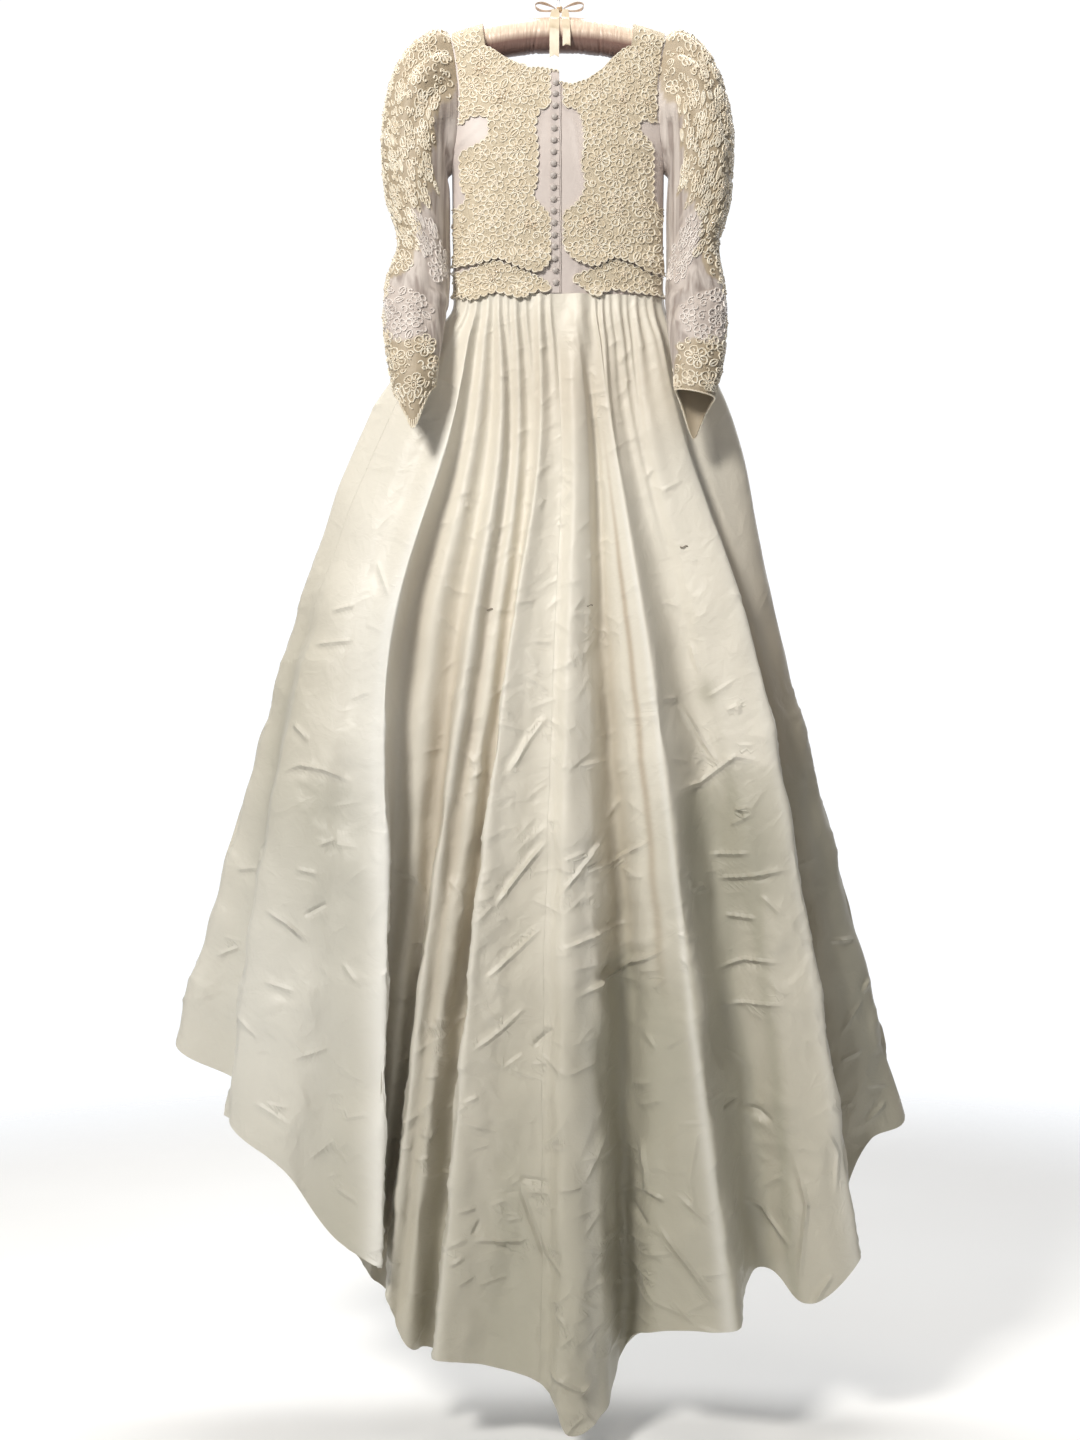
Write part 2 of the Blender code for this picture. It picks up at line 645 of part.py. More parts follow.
def armhole_edge(grids, side):
    """The armhole's edge from the underarm up the back, over and down the front."""
    back = grids["bodice_back_left" if side < 0 else "bodice_back_right"][0]
    front = grids["bodice_front"][0]
    back_column = back[:, 0 if side < 0 else -1]
    front_column = front[:, -1 if side < 0 else 0]
    underarm_row = len(ROWS) - 1 - ROWS.index(None)
    up_the_back = back_column[underarm_row::-1]
    down_the_front = front_column[:underarm_row + 1]
    corners = np.vstack([up_the_back, down_the_front[1:-1]]).copy()
    corners[0, 1] = 0.0
    corners[underarm_row, 1] = 0.0
    return corners


LONG_SIDE = 38.0            # an armhole side longer than this gets a point in its middle


def with_midpoints(ring):
    """Add the middle of each long side of a closed ring."""
    points = []
    for one, other in zip(ring, np.roll(ring, -1, axis=0)):
        points.append(one)
        if np.linalg.norm(other - one) > LONG_SIDE:
            points.append((one + other) / 2)
    return np.array(points)


def sleeve(name, grids, side, sections, point_at):
    """A tube from the armhole's edge through its sections to a pointed cuff."""
    ring = with_midpoints(armhole_edge(grids, side))
    top, bottom = ring[:, 2].max(), ring[:, 2].min()
    cosine = np.clip((ring[:, 2] - (top + bottom) / 2) / ((top - bottom) / 2), -1.0, 1.0)
    angle = np.arccos(cosine) * np.where(ring[:, 1] > 0, -1.0, 1.0)
    first = ring.copy()
    first[:, 0] += side * (SEAM_GAP + 0.1)
    rows = [first]
    pleat = np.where(np.arange(len(ring)) % 2 == 0, 1.0, -0.6)
    pleat *= smooth_step((np.cos(angle) + 0.75) / 0.5)
    for number, (_, body_x, body_z, outer_x, outer_z, half_depth, swing) in enumerate(sections):
        body = np.array((side * body_x, -swing, body_z), dtype=float)
        outer_side = np.array((side * outer_x, -swing, outer_z), dtype=float)
        middle = (body + outer_side) / 2
        half = (outer_side - body) / 2
        deep = np.array((0.0, -half_depth, 0.0))
        section = middle + np.outer(np.cos(angle), half) + np.outer(np.sin(angle), deep)
        if number < len(HEAD_PLEAT_DEPTHS):
            outward = section - middle
            outward /= np.linalg.norm(outward, axis=1, keepdims=True)
            section = section + outward * (pleat * HEAD_PLEAT_DEPTHS[number])[:, None]
        rows.append(section)
    turn = np.angle(np.exp(1j * (angle - point_at)))
    reach = CUFF_BAND + CUFF_POINT * np.exp(-(turn / 0.85) ** 2)
    wrist = rows[-1]
    tip_x = wrist[:, 0].mean()
    for part in (0.5, 1.0):
        cuff = wrist.copy()
        cuff[:, 2] -= reach * part
        narrow = 0.42 * part * np.exp(-(turn / 1.2) ** 2)
        cuff[:, 0] += (tip_x - cuff[:, 0]) * narrow
        rows.append(cuff)
    outer = np.array(rows)
    if side > 0:
        outer = outer[:, ::-1]
    normals = grid_normals(outer, True)
    flat = normals[0].copy()
    flat[:, 0] = 0.0
    normals[0] = flat / np.linalg.norm(flat, axis=1, keepdims=True)
    inner = outer - normals * CLOTH
    # corded lace down the outer side, left out round the elbow: raised over a plain inside
    laced = np.outer(np.isin(np.arange(len(outer)), LACED_ROWS), np.cos(angle) > 0.1)
    if side > 0:
        laced = laced[:, ::-1]
    outer = outer + normals * (LACE * laced)[:, :, None]
    cloth_wall(name, outer, inner, ORGANZA, shorter_diagonals(outer, True), wrap=True)


def sleeves(grids):
    """Both sleeves; the right cuff is turned so that its point hangs on the far side."""
    sleeve("sleeve_left", grids, -1, LEFT_SECTIONS, math.radians(90.0))
    sleeve("sleeve_right", grids, 1, RIGHT_SECTIONS, math.radians(-90.0))


# ---------------------------------------------------------------- skirt
# a row for each fold line, round the hem from the left side along the back to the
# right side, then along the front: its place counted in gathers, its distance right
# of the middle at hip, thigh, knee and hem, its distance behind the side seams at
# the same levels (negative is the garment's back), its height at the hem, and how
# crisply it is folded (0 soft, 1 a crease)
FOLD_LINES = (
    ("left_side", 0.0, -293, -416, -528, -653, 5, 10, 15, 20, -1821, 0.0),
    ("left_far_valley", 1.0, -271, -399, -489, -532, -12, -20, -25, -25, -1897, 0.0),
    ("left_fold_edge", 1.5, -253, -383, -485, -548, -22, -42, -75, -100, -1932, 0.3),
    ("left_fold_face", 2.0, -224, -343, -405, -445, -38, -70, -112, -140, -2008, 0.0),
    ("left_fold_dip", 2.5, -202, -309, -349, -364, -42, -85, -125, -140, -2115, 0.0),
    ("left_ridge", 3.0, -168, -272, -278, -286, -56, -112, -155, -175, -2154, 0.7),
    ("left_deep_valley", 3.5, -152, -245, -275, -335, -34, -50, -50, -42, -2177, 0.0),
    ("soft_ridge", 4.0, -133, -207, -249, -314, -44, -70, -70, -56, -2203, 0.0),
    ("soft_valley", 4.5, -115, -176, -230, -296, -34, -50, -50, -40, -2222, 0.0),
    ("second_ridge", 5.0, -92, -141, -213, -279, -52, -98, -132, -148, -2213, 0.0),
    ("second_valley", 5.5, -78, -124, -198, -264, -40, -78, -122, -144, -2250, 0.0),
    ("third_ridge", 6.0, -66, -107, -183, -247, -48, -84, -130, -156, -2284, 0.0),
    ("third_valley", 7.0, -47, -89, -152, -212, -40, -68, -90, -98, -2306, 0.0),
    ("fourth_ridge", 8.0, -29, -82, -143, -195, -55, -108, -165, -195, -2295, 0.4),
    ("centre_left_face", 8.8, -12, -47, -87, -111, -50, -98, -150, -180, -2310, 0.0),
    ("centre_seam", 9.5, 5, -6, -21, -24, -50, -98, -158, -188, -2337, 0.0),
    ("centre_roll", 10.5, 26, 18, 13, 20, -62, -120, -190, -235, -2404, 0.0),
    ("centre_roll_edge", 11.2, 46, 48, 56, 70, -54, -100, -165, -200, -2376, 0.2),
    ("dark_valley", 11.7, 57, 79, 109, 112, -38, -60, -75, -75, -2311, 0.0),
    ("right_face", 12.3, 66, 105, 145, 154, -50, -92, -145, -172, -2258, 0.0),
    ("right_ridge", 13.0, 85, 146, 206, 282, -60, -125, -185, -212, -2242, 0.6),
    ("right_valley", 14.5, 110, 192, 274, 346, -42, -70, -88, -92, -2178, 0.0),
    ("right_panel", 16.5, 145, 244, 348, 400, -46, -86, -125, -142, -2222, 0.0),
    ("right_edge", 18.0, 196, 313, 403, 488, -38, -92, -132, -150, -2145, 0.5),
    ("right_far_valley", 18.6, 206, 308, 399, 474, -18, -42, -55, -52, -2113, 0.0),
    ("right_far_panel", 19.3, 231, 320, 420, 529, -8, -28, -32, -28, -1979, 0.0),
    ("right_side", 20.0, 280, 361, 467, 589, 10, 15, 20, 20, -1958, 0.0),
    ("front_valley_1", 21.2, 215, 290, 380, 470, 35, 45, 50, 55, -1850, 0.0),
    ("front_ridge_1", 22.4, 172, 240, 315, 385, 50, 85, 130, 165, -1770, 0.1),
    ("front_valley_2", 23.6, 128, 185, 235, 285, 44, 62, 85, 100, -1706, 0.0),
    ("front_ridge_2", 24.8, 88, 130, 170, 205, 58, 100, 155, 200, -1668, 0.1),
    ("front_valley_3", 26.0, 48, 72, 90, 105, 48, 75, 105, 128, -1648, 0.0),
    ("front_ridge_3", 27.2, 10, 22, 30, 35, 60, 110, 170, 222, -1640, 0.1),
    ("front_valley_4", 28.4, -30, -40, -48, -55, 50, 78, 112, 140, -1640, 0.0),
    ("front_ridge_4", 29.6, -70, -95, -125, -150, 60, 106, 165, 212, -1646, 0.1),
    ("front_valley_5", 30.8, -110, -155, -200, -240, 46, 66, 92, 112, -1662, 0.0),
    ("front_ridge_5", 32.0, -148, -215, -285, -345, 52, 90, 138, 178, -1690, 0.1),
    ("front_valley_6", 33.2, -185, -275, -365, -455, 38, 48, 58, 68, -1728, 0.0),
    ("front_ridge_6", 34.6, -235, -345, -455, -560, 28, 48, 78, 100, -1776, 0.0),
)
LEVELS = np.array((0.0, 0.12, 0.35, 0.65, 1.0))
GATHERS = BACK_GATHERS + FRONT_GATHERS
SKIRT_ROWS = (0.0, 0.02, 0.055, 0.11, 0.18, 0.265, 0.36, 0.47, 0.58, 0.69, 0.80, 0.90, 1.0)
BACK_STEP = 0.25            # columns four to a gather along the back
FRONT_STEP = 0.5


def waist_ring(place):
    """Point and outward direction on the waist seam for a place counted in gathers."""
    angle = np.linspace(0.0, math.pi, 721)
    power = 2.0 / OVAL_POWER
    x = -177.5 * np.sign(np.cos(angle)) * np.abs(np.cos(angle)) ** power
    y = 50.0 * np.sin(angle) ** power
    length = np.concatenate([[0.0], np.cumsum(np.hypot(np.diff(x), np.diff(y)))])
    length /= length[-1]
    if place <= BACK_GATHERS:
        part = place / BACK_GATHERS
        side = -1.0
    else:
        part = 1.0 - (place - BACK_GATHERS) / FRONT_GATHERS
        side = 1.0
    at_x = float(np.interp(part, length, x))
    at_y = side * float(np.interp(part, length, y))
    outward = np.array((at_x / 177.5 ** 2, at_y / 50.0 ** 2))
    return np.array((at_x, at_y)), outward / np.linalg.norm(outward)


def down_the_line(values, part):
    """A smooth curve through a fold line's values at the five levels."""
    slopes = np.gradient(values, LEVELS)
    index = min(int(np.searchsorted(LEVELS, part, side="right")) - 1, len(LEVELS) - 2)
    span = LEVELS[index + 1] - LEVELS[index]
    t = (part - LEVELS[index]) / span
    return ((2 * t ** 3 - 3 * t ** 2 + 1) * values[index]
            + (t ** 3 - 2 * t ** 2 + t) * span * slopes[index]
            + (3 * t ** 2 - 2 * t ** 3) * values[index + 1]
            + (t ** 3 - t ** 2) * span * slopes[index + 1])


def fold_points(part):
    """Where every fold line is at one part of the way from waist to hem."""
    points = []
    for row in FOLD_LINES:
        waist, _ = waist_ring(row[1])
        x = down_the_line(np.array((waist[0],) + row[2:6]), part)
        y = down_the_line(np.array((waist[1],) + row[6:10]), part)
        points.append((x, y, WAIST_Z - SEAM_GAP / 2 + part * (row[10] - WAIST_Z)))
    return np.array(points)


def skirt_row(part, places):
    """One row of the skirt: soft curves from fold line to fold line, and gathers."""
    points = fold_points(part)
    count = len(points)
    starts = np.array([row[1] for row in FOLD_LINES] + [float(GATHERS)])
    crisp = np.array([row[11] for row in FOLD_LINES])
    ahead = np.roll(points, -1, axis=0) - points
    reach = np.linalg.norm(ahead, axis=1)
    behind = np.roll(ahead, 1, axis=0)
    behind_reach = np.roll(reach, 1)
    direction = unit(unit(ahead) * behind_reach[:, None] + unit(behind) * reach[:, None])
    gather = GATHER_DEPTH * (0.45 + 0.55 * smooth_step(part / 0.045))
    gather *= 1.0 - smooth_step((part - 0.07) / 0.26)
    blend = smooth_step(part / 0.05)
    row = []
    for place in places:
        start = int(np.searchsorted(starts, place % GATHERS, side="right")) - 1
        after = (start + 1) % count
        t = (place % GATHERS - starts[start]) / (starts[start + 1] - starts[start])
        leave = direction[start] * reach[start] * (1.0 - crisp[start])
        arrive = direction[after] * reach[start] * (1.0 - crisp[after])
        point = ((2 * t ** 3 - 3 * t ** 2 + 1) * points[start] + (t ** 3 - 2 * t ** 2 + t) * leave
                 + (3 * t ** 2 - 2 * t ** 3) * points[after] + (t ** 3 - t ** 2) * arrive)
        ring, outward = waist_ring(place % GATHERS)
        point[:2] = ring + (point[:2] - ring) * blend
        point[:2] += outward * gather * (0.5 + 0.5 * math.cos(2 * math.pi * place))
        row.append(point)
    return row


def skirt():
    """Five gathered panels: two back halves with the train, two sides and the front."""
    back_places = np.arange(0.0, BACK_GATHERS, BACK_STEP)
    front_places = np.arange(BACK_GATHERS, GATHERS - 1e-6, FRONT_STEP)
    places = np.concatenate([back_places, front_places])
    outer = np.array([skirt_row(part, places) for part in SKIRT_ROWS])
    normals = grid_normals(outer, True)
    inner = outer - normals * CLOTH
    split = shorter_diagonals(outer, True)
    seams = (("skirt_back_left", 1.25, 9.5), ("skirt_back_right", 9.5, 18.5),
             ("skirt_side_right", 18.5, 22.5), ("skirt_front", 22.5, 34.5),
             ("skirt_side_left", 34.5, 1.25 + GATHERS))
    for name, first_place, last_place in seams:
        around = np.concatenate([places, places + GATHERS])
        first = int(np.argmin(np.abs(around - first_place)))
        last = int(np.argmin(np.abs(around - last_place)))
        columns = np.arange(first, last + 1) % len(places)
        panel_outer = outer[:, columns].copy()
        panel_inner = inner[:, columns].copy()
        for skin in (panel_outer, panel_inner):
            ease_side(skin, 0, 1)
            ease_side(skin, -1, -2)
        cloth_wall(name, panel_outer, panel_inner, TAFFETA, split[:, columns[:-1]])


# ---------------------------------------------------------------- putting together
hanger_pad()
hanger_hook()
ribbon_bow()
bodice_grids = bodice()
bodice_lace(bodice_grids)
closing(bodice_grids)
sleeves(bodice_grids)
skirt()
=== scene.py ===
"""Looks of a wedding dress hung by its padded hanger, seen from the buttoned back.

Ivory taffeta skirt with a short train, satin bodice under corded and pearled lace,
organza sleeves with lace motifs, and a ruched satin hanger with a wire hook.
Sizes are millimetres in the model's frame: origin in the hook, -Y is the gown's back.
"""
import math

import bpy
import bmesh
import numpy as np
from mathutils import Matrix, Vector


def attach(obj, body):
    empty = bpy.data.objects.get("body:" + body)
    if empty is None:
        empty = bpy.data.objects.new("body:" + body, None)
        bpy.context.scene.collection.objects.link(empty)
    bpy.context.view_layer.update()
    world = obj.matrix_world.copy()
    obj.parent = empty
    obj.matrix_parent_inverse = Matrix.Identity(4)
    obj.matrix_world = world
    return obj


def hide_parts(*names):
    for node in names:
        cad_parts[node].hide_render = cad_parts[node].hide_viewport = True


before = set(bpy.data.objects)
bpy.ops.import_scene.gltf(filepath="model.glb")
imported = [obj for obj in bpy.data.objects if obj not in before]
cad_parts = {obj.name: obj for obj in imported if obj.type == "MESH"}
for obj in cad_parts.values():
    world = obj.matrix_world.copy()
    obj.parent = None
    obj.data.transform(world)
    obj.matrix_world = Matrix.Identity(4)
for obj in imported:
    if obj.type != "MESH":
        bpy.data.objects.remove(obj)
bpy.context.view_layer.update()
MM = 0.001

# ------------------------------------------------------------------ studio
# A pale paper floor whose rim fades out, with soft white air behind the gown, lit
# by large soft boxes. The camera stands 3.2 m behind the gown, level with its middle.
CAMERA_DISTANCE = 3200.0
CAMERA_X = -30.6
CAMERA_Z = -1273.4
FRAME_HEIGHT = 2448.0       # what the picture's height covers at the side seams
FLOOR_Z = -2445.0
FLOOR_RADIUS = 3400.0
FLOOR_FADES_FROM = 1900.0

bpy.context.scene.view_settings.view_transform = "Standard"


def linear(hex_colour):
    """sRGB hex to linear RGBA."""
    channels = [int(hex_colour[k:k + 2], 16) / 255 for k in (1, 3, 5)]
    return [c / 12.92 if c <= 0.04045 else ((c + 0.055) / 1.055) ** 2.4 for c in channels] + [1.0]


def add_node(tree, kind, inputs=None, **settings):
    """Add a node, set its properties, and set or link its inputs."""
    node = tree.nodes.new(kind)
    for name, value in settings.items():
        setattr(node, name, value)
    for key, value in (inputs or {}).items():
        socket = node.inputs[key]
        if isinstance(value, bpy.types.NodeSocket):
            tree.links.new(value, socket)
        else:
            socket.default_value = value
    return node


def new_finish(name, **sockets):
    """A material with its Principled shader; sockets are set on the shader itself."""
    finish = bpy.data.materials.new(name)
    finish.use_nodes = True
    shader = finish.node_tree.nodes["Principled BSDF"]
    for key, value in sockets.items():
        shader.inputs[key.replace("_", " ")].default_value = value
    return finish, finish.node_tree, shader


def object_place(tree):
    """The place of a point on the piece, in metres."""
    return add_node(tree, "ShaderNodeTexCoord").outputs["Object"]


def noise(place, scale, detail=2.0, distortion=0.0):
    """Noise over a place or UV, 0 to 1."""
    return add_node(place.id_data, "ShaderNodeTexNoise", {"Vector": place, "Scale": scale, "Detail": detail,
                                                          "Distortion": distortion}).outputs["Fac"]


def stretched(place, *scale):
    """A place scaled by another amount along each axis."""
    return add_node(place.id_data, "ShaderNodeMapping", {"Vector": place, "Scale": scale}).outputs["Vector"]


def ranged(value, low, high, to_low=0.0, to_high=1.0, shape="LINEAR"):
    """A value's range from low to high, taken to another range and held at its ends."""
    return add_node(value.id_data, "ShaderNodeMapRange",
                    {"Value": value, "From Min": low, "From Max": high, "To Min": to_low,
                     "To Max": to_high}, interpolation_type=shape).outputs["Result"]


def blended(factor, low, high):
    """From one colour to another by a factor; each is a hex colour or a socket."""
    low, high = (linear(colour) if isinstance(colour, str) else colour for colour in (low, high))
    return add_node(factor.id_data, "ShaderNodeMix", {"Factor": factor, "A": low, "B": high},
                    data_type="RGBA").outputs["Result"]


def reckoned(tree, operation, *values):
    """The result of a Math node."""
    return add_node(tree, "ShaderNodeMath", dict(enumerate(values)), operation=operation).outputs["Value"]


def link(value, shader, socket="Base Color"):
    """Let a value set one of the shader's sockets."""
    shader.id_data.links.new(value, shader.inputs[socket])


def raised(shader, height, strength, distance, **settings):
    """Fine relief on the shader, over any that it has; distance in metres."""
    inputs = {"Height": height, "Strength": strength, "Distance": distance}
    for before in shader.inputs["Normal"].links:
        inputs["Normal"] = before.from_socket
    lift = add_node(shader.id_data, "ShaderNodeBump", inputs, **settings)
    link(lift.outputs["Normal"], shader, "Normal")


def put_in_scene(name, data):
    """An object of the data, linked to the scene."""
    thing = bpy.data.objects.new(name, data)
    bpy.context.scene.collection.objects.link(thing)
    return thing


def floor_paper():
    """Matt paper with a faint mottle of its fibre; towards the rim it thins to nothing."""
    finish, tree, shader = new_finish("matt_paper_floor", Roughness=0.9)
    place = object_place(tree)
    link(blended(noise(place, 1.5), "#F4F3F1", "#FAFAF9"), shader)
    flat = add_node(tree, "ShaderNodeVectorMath", {0: place, 1: (1.0, 1.0, 0.0)}, operation="MULTIPLY")
    reach = add_node(tree, "ShaderNodeVectorMath", {0: flat.outputs["Vector"]}, operation="LENGTH")
    link(ranged(reach.outputs["Value"], FLOOR_FADES_FROM * MM, FLOOR_RADIUS * 0.97 * MM, 1.0, 0.0,
                "SMOOTHSTEP"), shader, "Alpha")
    return finish


def paper_floor():
    """One round sheet under the gown."""
    turns = 2 * np.pi * np.arange(96) / 96
    rim = np.stack([np.cos(turns), np.sin(turns), np.zeros(96)], axis=1) * FLOOR_RADIUS
    mesh = bpy.data.meshes.new("paper_floor")
    mesh.from_pydata(((rim + (0.0, 0.0, FLOOR_Z)) * MM).tolist(), [], [tuple(range(96))])
    mesh.materials.append(floor_paper())
    floor = put_in_scene("paper_floor", mesh)


def studio_air():
    """Dim neutral air in front, bright white air behind the gown, blended by direction."""
    world = bpy.data.worlds.new("studio_air")
    world.use_nodes = True
    tree = world.node_tree
    direction = add_node(tree, "ShaderNodeTexCoord")
    parts = add_node(tree, "ShaderNodeSeparateXYZ", {"Vector": direction.outputs["Generated"]})
    air = tree.nodes["Background"]
    air.inputs["Color"].default_value = linear("#F1F3F6")
    link(ranged(parts.outputs["Y"], 0.45, 0.85, 0.17, 1.18, "SMOOTHSTEP"), air, "Strength")
    bpy.context.scene.world = world


def soft_box(name, place, target, width, height, watts, colour):
    """A rectangular soft box that faces its target."""
    light = bpy.data.lights.new(name, "AREA")
    light.shape = "RECTANGLE"
    light.size = width
    light.size_y = height
    light.energy = watts
    light.color = linear(colour)[:3]
    lamp = put_in_scene(name, light)
    lamp.location = place
    lamp.rotation_euler = (Vector(target) - Vector(place)).to_track_quat("-Z", "Y").to_euler()


lens = bpy.data.cameras.new("camera")
lens.sensor_width = 36.0
lens.lens = 36.0 * CAMERA_DISTANCE / FRAME_HEIGHT
camera = put_in_scene("camera", lens)
camera.location = (CAMERA_X * MM, -CAMERA_DISTANCE * MM, CAMERA_Z * MM)
camera.rotation_euler = (math.pi / 2, 0.0, 0.0)
bpy.context.scene.camera = camera

paper_floor()
studio_air()
soft_box("window_box", (-1.8, -2.9, 1.25), (0.0, 0.0, -1.1), 0.8, 0.8, 146, "#FFFCF6")
soft_box("top_box", (0.2, -0.9, 1.5), (0.0, -0.1, -0.8), 1.2, 0.8, 14, "#FFF4E6")
soft_box("floor_box", (0.0, 0.9, 2.6), (0.0, 1.5, -2.4), 3.0, 0.8, 130, "#FFFFFF")
soft_box("front_side_box", (2.9, 3.0, 0.9), (0.0, 0.0, -1.3), 2.0, 2.0, 22, "#FFFFFF")

# ------------------------------------------------------------------ hook
# A bright plated steel wire, bent round a former into a question mark, its
# shank screwed into the wooden arm inside the pad.
HOOK_INNER_RADIUS = 19.0
HOOK_WIRE_RADIUS = 1.75
PAD_TOP_Z = -80.0


def join_all(meshes):
    """One (points, faces) pair from several."""
    points, faces, offset = [], [], 0
    for some_points, some_faces in meshes:
        points.append(np.asarray(some_points, dtype=float))
        faces.extend(tuple(int(k) + offset for k in face) for face in some_faces)
        offset += len(some_points)
    return np.vstack(points), faces


def add_piece(name, points, faces, finish, nodes, uv=None):
    """Make a mesh from millimetre points and hand it to the frame as a piece."""
    mesh = bpy.data.meshes.new(name)
    mesh.from_pydata((np.asarray(points) * MM).tolist(), [], [list(map(int, f)) for f in faces])
    if uv is not None:
        layer = mesh.uv_layers.new(name="cloth")
        layer.data.foreach_set("uv", np.asarray(uv, dtype=np.float32).ravel())
    mesh.shade_smooth()
    mesh.set_sharp_from_angle(angle=math.radians(50))
    mesh.materials.append(finish)
    piece = put_in_scene(name, mesh)
    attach(piece, "root")
    if nodes:
        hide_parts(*nodes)
    return piece


def unit(vectors):
    """Vectors of length one."""
    return vectors / np.maximum(np.linalg.norm(vectors, axis=-1, keepdims=True), 1e-9)


def tube(path, radius, sides=8):
    """A round cord or wire along a path; radius may change along it."""
    path = np.asarray(path, dtype=float)
    count = len(path)
    along = unit(np.gradient(path, axis=0))
    guide = np.array((0.0, 1.0, 0.0))
    if abs(along[0] @ guide) > 0.8:
        guide = np.array((1.0, 0.0, 0.0))
    side = np.empty_like(path)
    for k in range(count):
        guide = guide - along[k] * (guide @ along[k])
        guide = guide / np.linalg.norm(guide)
        side[k] = guide
    other = np.cross(along, side)
    angles = 2 * math.pi * np.arange(sides) / sides
    radii = np.broadcast_to(np.asarray(radius, dtype=float), (count,))[:, None, None]
    rings = path[:, None] + radii * (np.cos(angles)[None, :, None] * side[:, None]
                                     + np.sin(angles)[None, :, None] * other[:, None])
    faces = [(k * sides + j, k * sides + (j + 1) % sides, (k + 1) * sides + (j + 1) % sides,
              (k + 1) * sides + j) for k in range(count - 1) for j in range(sides)]
    faces.append(tuple(range(sides))[::-1])
    faces.append(tuple((count - 1) * sides + j for j in range(sides)))
    return rings.reshape(-1, 3), faces


def plated_wire():
    """Nickel-plated steel, drawn and polished: bright, with faint lengthwise draw lines."""
    finish, tree, shader = new_finish("polished_nickel_wire", Metallic=1.0, Base_Color=linear("#C9C8C6"))
    link(ranged(noise(object_place(tree), 900.0), 0.0, 1.0, 0.16, 0.34), shader, "Roughness")
    return finish


def hook_path():
    """Shank out of the pad, a small bend, then most of a circle."""
    points = [(0.0, PAD_TOP_Z + 0.3), (0.0, -66.0), (0.0, -56.0), (1.0, -49.5), (4.5, -43.5)]
    line_radius = HOOK_INNER_RADIUS + HOOK_WIRE_RADIUS
    for k in range(48):
        angle = math.radians(-62.0 + 258.0 * k / 47)
        points.append((line_radius * math.cos(angle),
                       -HOOK_INNER_RADIUS + line_radius * math.sin(angle)))
    return [(x, 0.0, z) for x, z in points]


path = hook_path()
rounded_end = path + [(path[-1][0] + 0.4, 0.0, path[-1][2] - 1.2)]
radii = [HOOK_WIRE_RADIUS] * len(path) + [HOOK_WIRE_RADIUS * 0.45]
points, faces = tube(rounded_end, radii, sides=14)
add_piece("hanger_hook_wire", points, faces, plated_wire(), ["hanger_hook"])

# ------------------------------------------------------------------ hanger pad
# A bowed wooden arm wrapped in wadding, in a sleeve of rose-cream satin that is
# gathered on its length, so that it ruches in fine upright folds.
PAD_HALF_LENGTH = 182.0
PAD_END_LENGTH = 37.0
PAD_HALF_HEIGHT = 30.0
PAD_HALF_DEPTH = 27.0
PAD_DROOP = 31.2
RUCHE_DEPTH = 1.3
STITCHED_PLACES = ((-41.0, 9.0, 2.4), (36.0, 11.0, 2.0), (75.0, 9.0, 2.4), (-118.0, 9.0, 1.8))


def pad_drop(x):
    """How far the pad's middle line hangs below its highest point at x."""
    return PAD_DROOP * (x / PAD_HALF_LENGTH) ** 2


def pad_surface():
    """Rings of points along the pad, with ruches that wander a little round it."""
    rings, sides = 270, 36
    along = np.linspace(-0.985, 0.985, rings)
    x = PAD_HALF_LENGTH * np.sin(along * math.pi / 2)
    into_end = np.maximum(np.abs(x) - (PAD_HALF_LENGTH - PAD_END_LENGTH), 0.0)
    size = np.sqrt(1.0 - (into_end / PAD_END_LENGTH) ** 2)
    angle = 2 * math.pi * np.arange(sides) / sides
    wander = (2.0 * np.sin(2 * angle[None] + x[:, None] / 31.0)
              + 1.3 * np.sin(3 * angle[None] - x[:, None] / 17.0))
    run = x[:, None] + wander
    ruche = (np.sin(run / 1.15) + 0.8 * np.sin(run / 1.93 + 1.3 * np.sin(run / 23.0))
             + 0.6 * np.sin(run / 0.83 + angle[None] * 2))
    pinch = np.zeros_like(run)
    close_folds = np.full_like(run, 0.12)
    for place, width, depth in STITCHED_PLACES:
        pinch += depth * 0.5 * np.exp(-((run - place) / width) ** 2)
        close_folds += depth / 2.4 * np.exp(-((run - place) / (1.3 * width)) ** 2)
    ruche *= RUCHE_DEPTH / 2.4 * close_folds
    inward = pinch + RUCHE_DEPTH * 0.6 - ruche
    inward *= (0.5 - 0.5 * np.sin(angle[None])) ** 0.5
    scale = size[:, None] * (1.0 - inward / PAD_HALF_HEIGHT)
    grid = np.stack([np.broadcast_to(x[:, None], scale.shape),
                     PAD_HALF_DEPTH * scale * np.cos(angle),
                     (PAD_TOP_Z - PAD_HALF_HEIGHT - pad_drop(x))[:, None]
                     + PAD_HALF_HEIGHT * scale * np.sin(angle)], axis=2)
    return grid, np.broadcast_to(0.5 + 0.5 * np.sin(angle), scale.shape)


def closed_rings(grid):
    """Faces of rings of points, with both ends closed by a fan."""
    rings, sides = grid.shape[:2]
    points = np.vstack([grid.reshape(-1, 3), grid[0].mean(axis=0), grid[-1].mean(axis=0)])
    pairs = [(j, (j + 1) % sides) for j in range(sides)]
    faces = [(k * sides + j, k * sides + after, (k + 1) * sides + after, (k + 1) * sides + j)
             for k in range(rings - 1) for j, after in pairs]
    last = (rings - 1) * sides
    for j, after in pairs:
        faces.append((rings * sides, after, j))
        faces.append((rings * sides + 1, last + j, last + after))
    return points, faces


def carry(mesh, name, kind, values):
    """Give each point of a mesh a value, vector or colour under a name."""
    field = {"FLOAT": "value", "FLOAT_VECTOR": "vector", "FLOAT_COLOR": "color"}[kind]
    layer = mesh.attributes.new(name, kind, "POINT")
    layer.data.foreach_set(field, np.asarray(values, dtype=np.float32).ravel())


